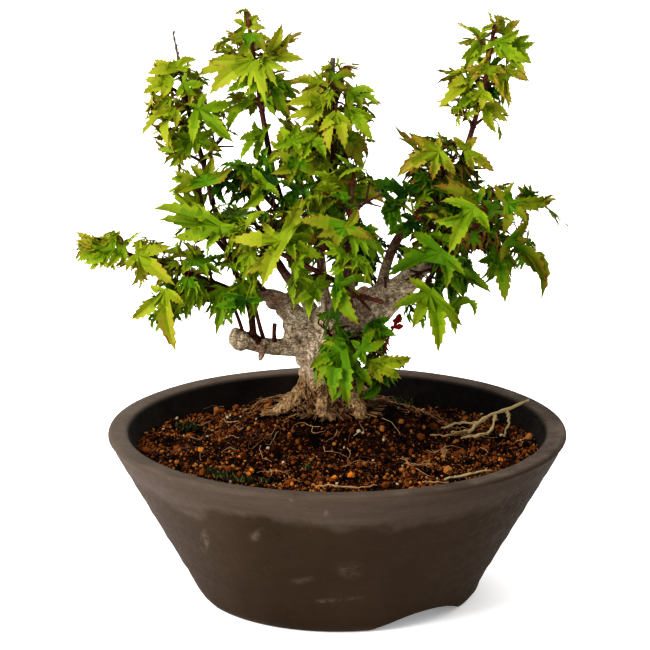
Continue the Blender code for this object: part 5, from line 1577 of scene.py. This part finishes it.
class Tree:
    """What all the masses grow into: twigs, leaf stalks, bud scales and the leaves of each group."""

    def __init__(self):
        self.spaces = Spaces()
        self.hearts = []
        self.twigs = Heap()
        self.stalks = Heap()
        self.blades = {group: Heap() for group in LEAF_GROUPS}
        self.centres = np.zeros((0, 4))

    def hides(self, points):
        """Whether any of the points stands before an opening to the limbs or a conspicuous leaf's middle."""
        points = np.array(points)
        return any(stands_before(points, from_pot(place), width * MM) for place, width in OPENINGS) or any(
            stands_before(points, heart, width, -1 * MM) for heart, width in self.hearts
        )

    def group_of(self, name):
        """The joined leaves that a mass's leaves belong to."""
        return next(self.blades[group] for group, names in LEAF_GROUPS.items() if name in names)

    def conspicuous(self):
        """The conspicuous leaves, each on a long stalk from its mass's stem and inside the whole plant's box."""
        low, high = (np.array(corner) for corner in cad_box)
        colours = list(LEAF_COLOURS)
        for index, (short, depth, tint, seen_base, seen_tips) in enumerate(LARGE_LEAVES):
            rng = random.Random(f"{SEED} large {index}")
            tilt, turn = rng.uniform(0.2, 0.7), rng.uniform(-0.35, 0.35)
            base = from_view(*seen_base, depth)
            tips = []
            for seen in seen_tips:
                flat = from_view(*seen, depth) - base
                tips.append(from_view(*seen, depth + (tilt * flat.z + turn * flat.x) / MM))
            normal = Vector((-turn, -1, tilt)).normalized()
            points, faces, marks = large_leaf(rng, base, tips, normal)
            points = np.array(points)
            for _ in range(LARGE_LEAF_FITS):
                reach = self.spaces.share(points, short).max()
                if (points >= low).all() and (points <= high).all() and reach < LARGE_LEAF_REACH:
                    break
                points = np.array(base) + (points - np.array(base)) * LARGE_LEAF_FIT
            tints = [colours.index(name) for name in LARGE_LEAF_COLOURS[tint]]
            self.group_of(short).add(points, faces, [tints[mark] for mark in marks])
            stem = self.spaces.stems[short]
            foot = Vector(stem[np.linalg.norm(stem - np.array(base), axis=1).argmin()])
            bent = foot.lerp(base, 0.5) + Vector((0, 0, 0.12 * (base - foot).length))
            self.stalks.tube(smooth_path([foot, bent, base], 3), (0.4 * MM, 0.28 * MM), 4, rng.choice((0, 1)))
            size = sum((tip - base).length for tip in tips) / len(tips)
            heart = points.mean(axis=0)
            self.centres = np.vstack([self.centres, (*heart, size)])
            self.hearts.append((heart, 0.5 * size))


class Foliage:
    """Grows one mass: leaf pairs that turn a quarter at each joint of its stem, its side twigs and their spurs."""

    def __init__(self, name, tree):
        self.name = name
        self.mass = MASSES[name]
        self.tree = tree
        self.random = random.Random(f"{SEED} foliage_{name}")
        self.leaf_length = self.mass.leaf * MM * LEAF_SHARE
        self.colours = list(LEAF_COLOURS)
        self.blades = tree.group_of(name)
        finish = next((finish for finish, names in MASSES_OF_FINISH.items() if name in names), "shaded")
        self.blade_colours, self.margin_colours = FINISHES[finish]

    def pick(self, weighted):
        names = [name for name, _ in weighted]
        return self.random.choices(names, [weight for _, weight in weighted])[0]

    def spray_colours(self):
        """The colours that one spray of leaves shares."""
        return self.pick(self.blade_colours), self.pick(self.margin_colours)

    def room_for(self, centre, size):
        """Whether a leaf of this size keeps far enough from those that are there."""
        centres = self.tree.centres
        if not len(centres):
            return True
        gap = np.linalg.norm(centres[:, :3] - np.array(centre), axis=1)
        return (gap > LEAF_ROOM * (centres[:, 3] + size)).all()

    def leaf(self, place, out, size, colours, lift=0.0):
        """One leaf on its stalk, smaller where a large one has no room. Says whether it found a place."""
        pick = self.random.uniform
        for scale in LEAF_SCALES:
            length = size * scale
            wobble = Vector([pick(-0.45, 0.45) for _ in range(3)])
            rise = (out + Vector((0, 0, 0.3)) + wobble * 0.5).normalized()
            base = place + rise * length * pick(0.22, 0.45)
            fall = pick(-0.35, 0.7) + 0.9 * self.mass.hang - lift
            forward = (out - Vector((0, 0, fall)) + wobble).normalized()
            _, normal = across(forward, (Vector((0, 0, 1)) + out * 0.6 + wobble).normalized())
            twist = self.random.gauss(0, 0.42)
            normal = (normal * math.cos(twist) + normal.cross(forward) * math.sin(twist)).normalized()
            side = normal.cross(forward)
            droop = normal * -0.18 * length
            reached = [base, base + forward * 0.95 * length + droop]
            reached += [base + (forward * 0.45 + side * s) * length + droop for s in (-0.62, 0.62)]
            centre = base + forward * 0.42 * length
            if not self.tree.spaces.holds(reached, self.name) or not self.room_for(centre, length):
                continue
            if self.tree.hides([*reached, centre]):
                continue
            shape = blade(self.random, length, base, forward, normal, pick(0.25, 1.0))
            if (shape.min(axis=0) < np.array(cad_box[0])).any() or (shape.max(axis=0) > np.array(cad_box[1])).any():
                continue
            if fills_sky(shape):
                continue
            self.tree.centres = np.vstack([self.tree.centres, (*centre, length)])
            inner, outer = (self.colours.index(colour) for colour in colours)
            plain = self.random.random() < PLAIN_LEAVES
            kinds = [(inner, inner if plain else outer, outer)[mark] for mark in PATTERN[4]]
            self.blades.add(shape, PATTERN[3], kinds)
            bent = place.lerp(base, 0.55) + Vector((0, 0, 0.07 * length))
            stalk = [place, bent, base + forward * 0.05 * length]
            self.tree.stalks.tube(stalk, (0.3 * MM, 0.2 * MM), 3, self.random.choices((0, 1), STALK_SHARES)[0])
            return True
        return False

    def pair(self, place, direction, roll, size, colours, count=2, lift=0.0):
        """A pair of leaves, or more, spaced evenly round a joint."""
        for k in range(count):
            for turn in LEAF_TURNS:
                out = outwards(direction, roll + turn + k * math.tau / count, 0.45)
                if self.leaf(place, out, size * self.random.uniform(0.6, 1.2), colours, lift):
                    break

    def scales(self, place, direction, roll, radius):
        """A swollen joint with two pointed bud scales."""
        ring = [place - direction * 0.7 * MM, place, place + direction * 0.7 * MM]
        self.tree.twigs.tube(ring, (radius, radius * 1.45, radius), 6)
        for k in range(2):
            out = outwards(direction, roll + k * math.pi, 1.2)
            foot = place + out * radius
            tip = foot + out * self.random.uniform(1.0, 2.2) * MM
            self.tree.twigs.tube(halved(foot, tip), (0.28 * MM, 0.34 * MM, 0.05 * MM), 3, 1)

    def spur(self, place, direction, length, radius, colours):
        """A short twig with one leaf pair at its end."""
        end = place + direction * length + Vector((0, 0, 0.15 * length))
        if not self.tree.spaces.holds([end], self.name):
            return
        self.tree.twigs.tube(halved(place, end), (radius * 0.7, radius * 0.45), 5)
        roll = self.random.uniform(0, math.pi)
        self.pair(end, direction, roll, self.leaf_length * 0.72, colours)

    def twig(self, place, direction, length):
        """A side twig with leaf pairs and finer spurs near its middle, and leaves at its end."""
        end = place + direction * length + Vector((0, 0, 0.12 * length))
        middle = place.lerp(end, 0.5) + Vector((0, 0, 0.05 * length))
        if not self.tree.spaces.holds([middle, end], self.name):
            return
        path = smooth_path([place, middle, end], 3)
        radius = TWIG_R * 0.55
        self.tree.twigs.tube(path, (radius, radius * 0.6), 5)
        colours = self.spray_colours()
        roll = self.random.uniform(0, math.pi)
        size = self.leaf_length * 0.9
        self.scales(middle, direction, roll, radius * 0.8)
        self.pair(middle, direction, roll, size, colours)
        if length > SPUR_FROM:
            for a in (roll + math.pi / 2, roll + 1.5 * math.pi):
                out = outwards(direction, a, 0.7)
                self.spur(middle, out, length * self.random.uniform(0.35, 0.6), radius, colours)
        self.pair(end, direction, roll + math.pi / 2, size * 0.9, colours, 3)

    def grow(self):
        """The mass's stem, with side twigs at every other joint, leaves at each, and leaves at its tip."""
        mass = self.mass
        stem = stem_of(self.name)
        live = [along(stem, mass.dead_end * i / STEM_STEPS)[0] for i in range(STEM_STEPS + 1)]
        self.tree.twigs.tube(live, (TWIG_R, TWIG_R * TWIG_TAPER), 7)
        length = length_of(stem)
        joints = max(3, round(length * (mass.dead_end - mass.bare) / (JOINT_SHARE * self.leaf_length)))
        roll = self.random.uniform(0, math.pi)
        for k in range(joints):
            share = mass.bare + (mass.dead_end - mass.bare) * (k + 0.5) / joints
            place, direction = along(stem, share)
            radius = TWIG_R * (1 + (TWIG_TAPER - 1) * share)
            size = self.leaf_length * (1.25 - 0.6 * share)
            self.scales(place, direction, roll, radius)
            if k % 2 == 0 and k < joints - 1:
                for a in (roll, roll + math.pi):
                    out = outwards(direction, a, 0.6)
                    self.twig(place, out, mass.reach * MM * self.random.uniform(0.32, 0.62) * (1.15 - 0.5 * share))
            self.pair(place, direction, roll + math.pi / 2 * (k % 2 == 0), size, self.spray_colours())
            roll += math.pi / 2 + self.random.uniform(-0.2, 0.2)
        tip, direction = along(stem, mass.dead_end)
        self.pair(tip, direction, roll, self.leaf_length * 0.6, self.spray_colours(), 3)
        self.pair(tip, direction, roll + 1, self.leaf_length * 0.45, self.spray_colours(), 2, 1.6)
        if mass.dead_end < 1:
            self.dead_tip(stem)

    def dead_tip(self, stem):
        """The bare grey end of a shoot that died back, with its swollen joints and dry buds."""
        first = self.mass.dead_end
        for k in range(DEAD_STEPS):
            here, there = (along(stem, min(1.0, first + (1 - first) * i / DEAD_STEPS))[0] for i in (k, k + 1.2))
            thick = (0.46 - 0.008 * k + 0.26 * max(0, math.sin(k * 1.05)) ** 3) * MM
            self.tree.twigs.tube([here, there], (thick, thick * 0.9), 6, 2)
        for share in (0.3, 0.42, 0.62, 0.97):
            place, direction = along(stem, first + (1 - first) * share)
            side, up = across(direction)
            for way in (-1, 1):
                tip = place + (side * way + direction * 0.9 + up * 0.4).normalized() * 1.5 * MM
                self.tree.twigs.tube(halved(place, tip), (0.4 * MM, 0.45 * MM, 0.12 * MM), 4, 2)


def foliage():
    tree = Tree()
    tree.conspicuous()
    for name in MASSES:
        Foliage(name, tree).grow()
    for points, radii, kind in SHOOTS:
        tree.twigs.tube(smooth_path([from_pot(p) for p in points], 4), [r * MM for r in radii], 7, kind)
    finishes = [
        plain_finish("leaf_" + name, colour, 0.6, 500, 0.1 * MM, 0.12) for name, colour in LEAF_COLOURS.items()
    ]
    for group, heap in tree.blades.items():
        nodes = ["foliage_" + name for name in LEAF_GROUPS[group]]
        carried(heap.piece(group, finishes), "leaf_green", *nodes)
    scale_red = plain_finish("bud_scale", (0.15, 0.02, 0.01), 0.6, 900, 0.1 * MM, 0.1)
    dead_grey = plain_finish("dead_twig", (0.10, 0.075, 0.06), 0.9, 900, 0.15 * MM, 0.1)
    twigs = tree.twigs.piece("twigs", [twig_finish(), scale_red, dead_grey])
    twigs.data.shade_smooth()
    carried(twigs, "bark")
    stalk_finishes = [plain_finish("stalk_green", (0.13, 0.14, 0.008), 0.5, 900, 0.05 * MM, 0.1),
                      plain_finish("stalk_red", (0.15, 0.03, 0.012), 0.5, 900, 0.05 * MM, 0.1)]
    stalks = tree.stalks.piece("leaf_stalks", stalk_finishes)
    stalks.data.shade_smooth()
    carried(stalks, "leaf_green")


# Stage


def area_light(name, place, target, size, power, colour=(1, 1, 1)):
    data = bpy.data.lights.new(name, "AREA")
    data.shape = "DISK"
    data.size = size
    data.energy = power
    data.color = colour
    light = bpy.data.objects.new(name, data)
    bpy.context.scene.collection.objects.link(light)
    light.location = place
    light.rotation_euler = (Vector(target) - Vector(place)).to_track_quat("-Z", "Y").to_euler()
    return light


def stage():
    nothing_selected()
    bpy.ops.mesh.primitive_plane_add(size=9, location=(0, 0, 0))
    floor = named("floor")
    white = Finish("pale_floor", 0.9, (0.94, 0.94, 0.94), 0.1)
    white.relief(white.grain(40), 0.05 * MM)
    white.shader.inputs["Emission Color"].default_value = (1, 1, 1, 1)
    white.shader.inputs["Emission Strength"].default_value = FLOOR_GLOW
    floor.data.materials.append(white.material)
    world = bpy.data.worlds.new("soft_white")
    world.use_nodes = True
    sky = world.node_tree.nodes["Background"]
    sky.inputs["Color"].default_value = (1, 1, 1, 1)
    sky.inputs["Strength"].default_value = WORLD_STRENGTH
    bpy.context.scene.world = world
    for name, place, size, power in LIGHTS:
        area_light(name, place, (0, 0, 0.09), size, power)
    camera = bpy.data.objects.new("camera", bpy.data.cameras.new("camera"))
    bpy.context.scene.collection.objects.link(camera)
    camera.data.lens = CAMERA_LENS
    camera.data.sensor_width = SENSOR
    camera.data.clip_end = 30
    camera.location = camera_axes()[0]
    camera.rotation_euler = (math.pi / 2 - math.radians(CAMERA_ELEVATION), 0, 0)
    bpy.context.scene.camera = camera
    bpy.context.scene.view_settings.view_transform = "Standard"
    bpy.context.scene.view_settings.look = "High Contrast"


stage()
thrown_pot()
soil_bed()
granules()
strands()
moss()
tree_limbs()
foliage()
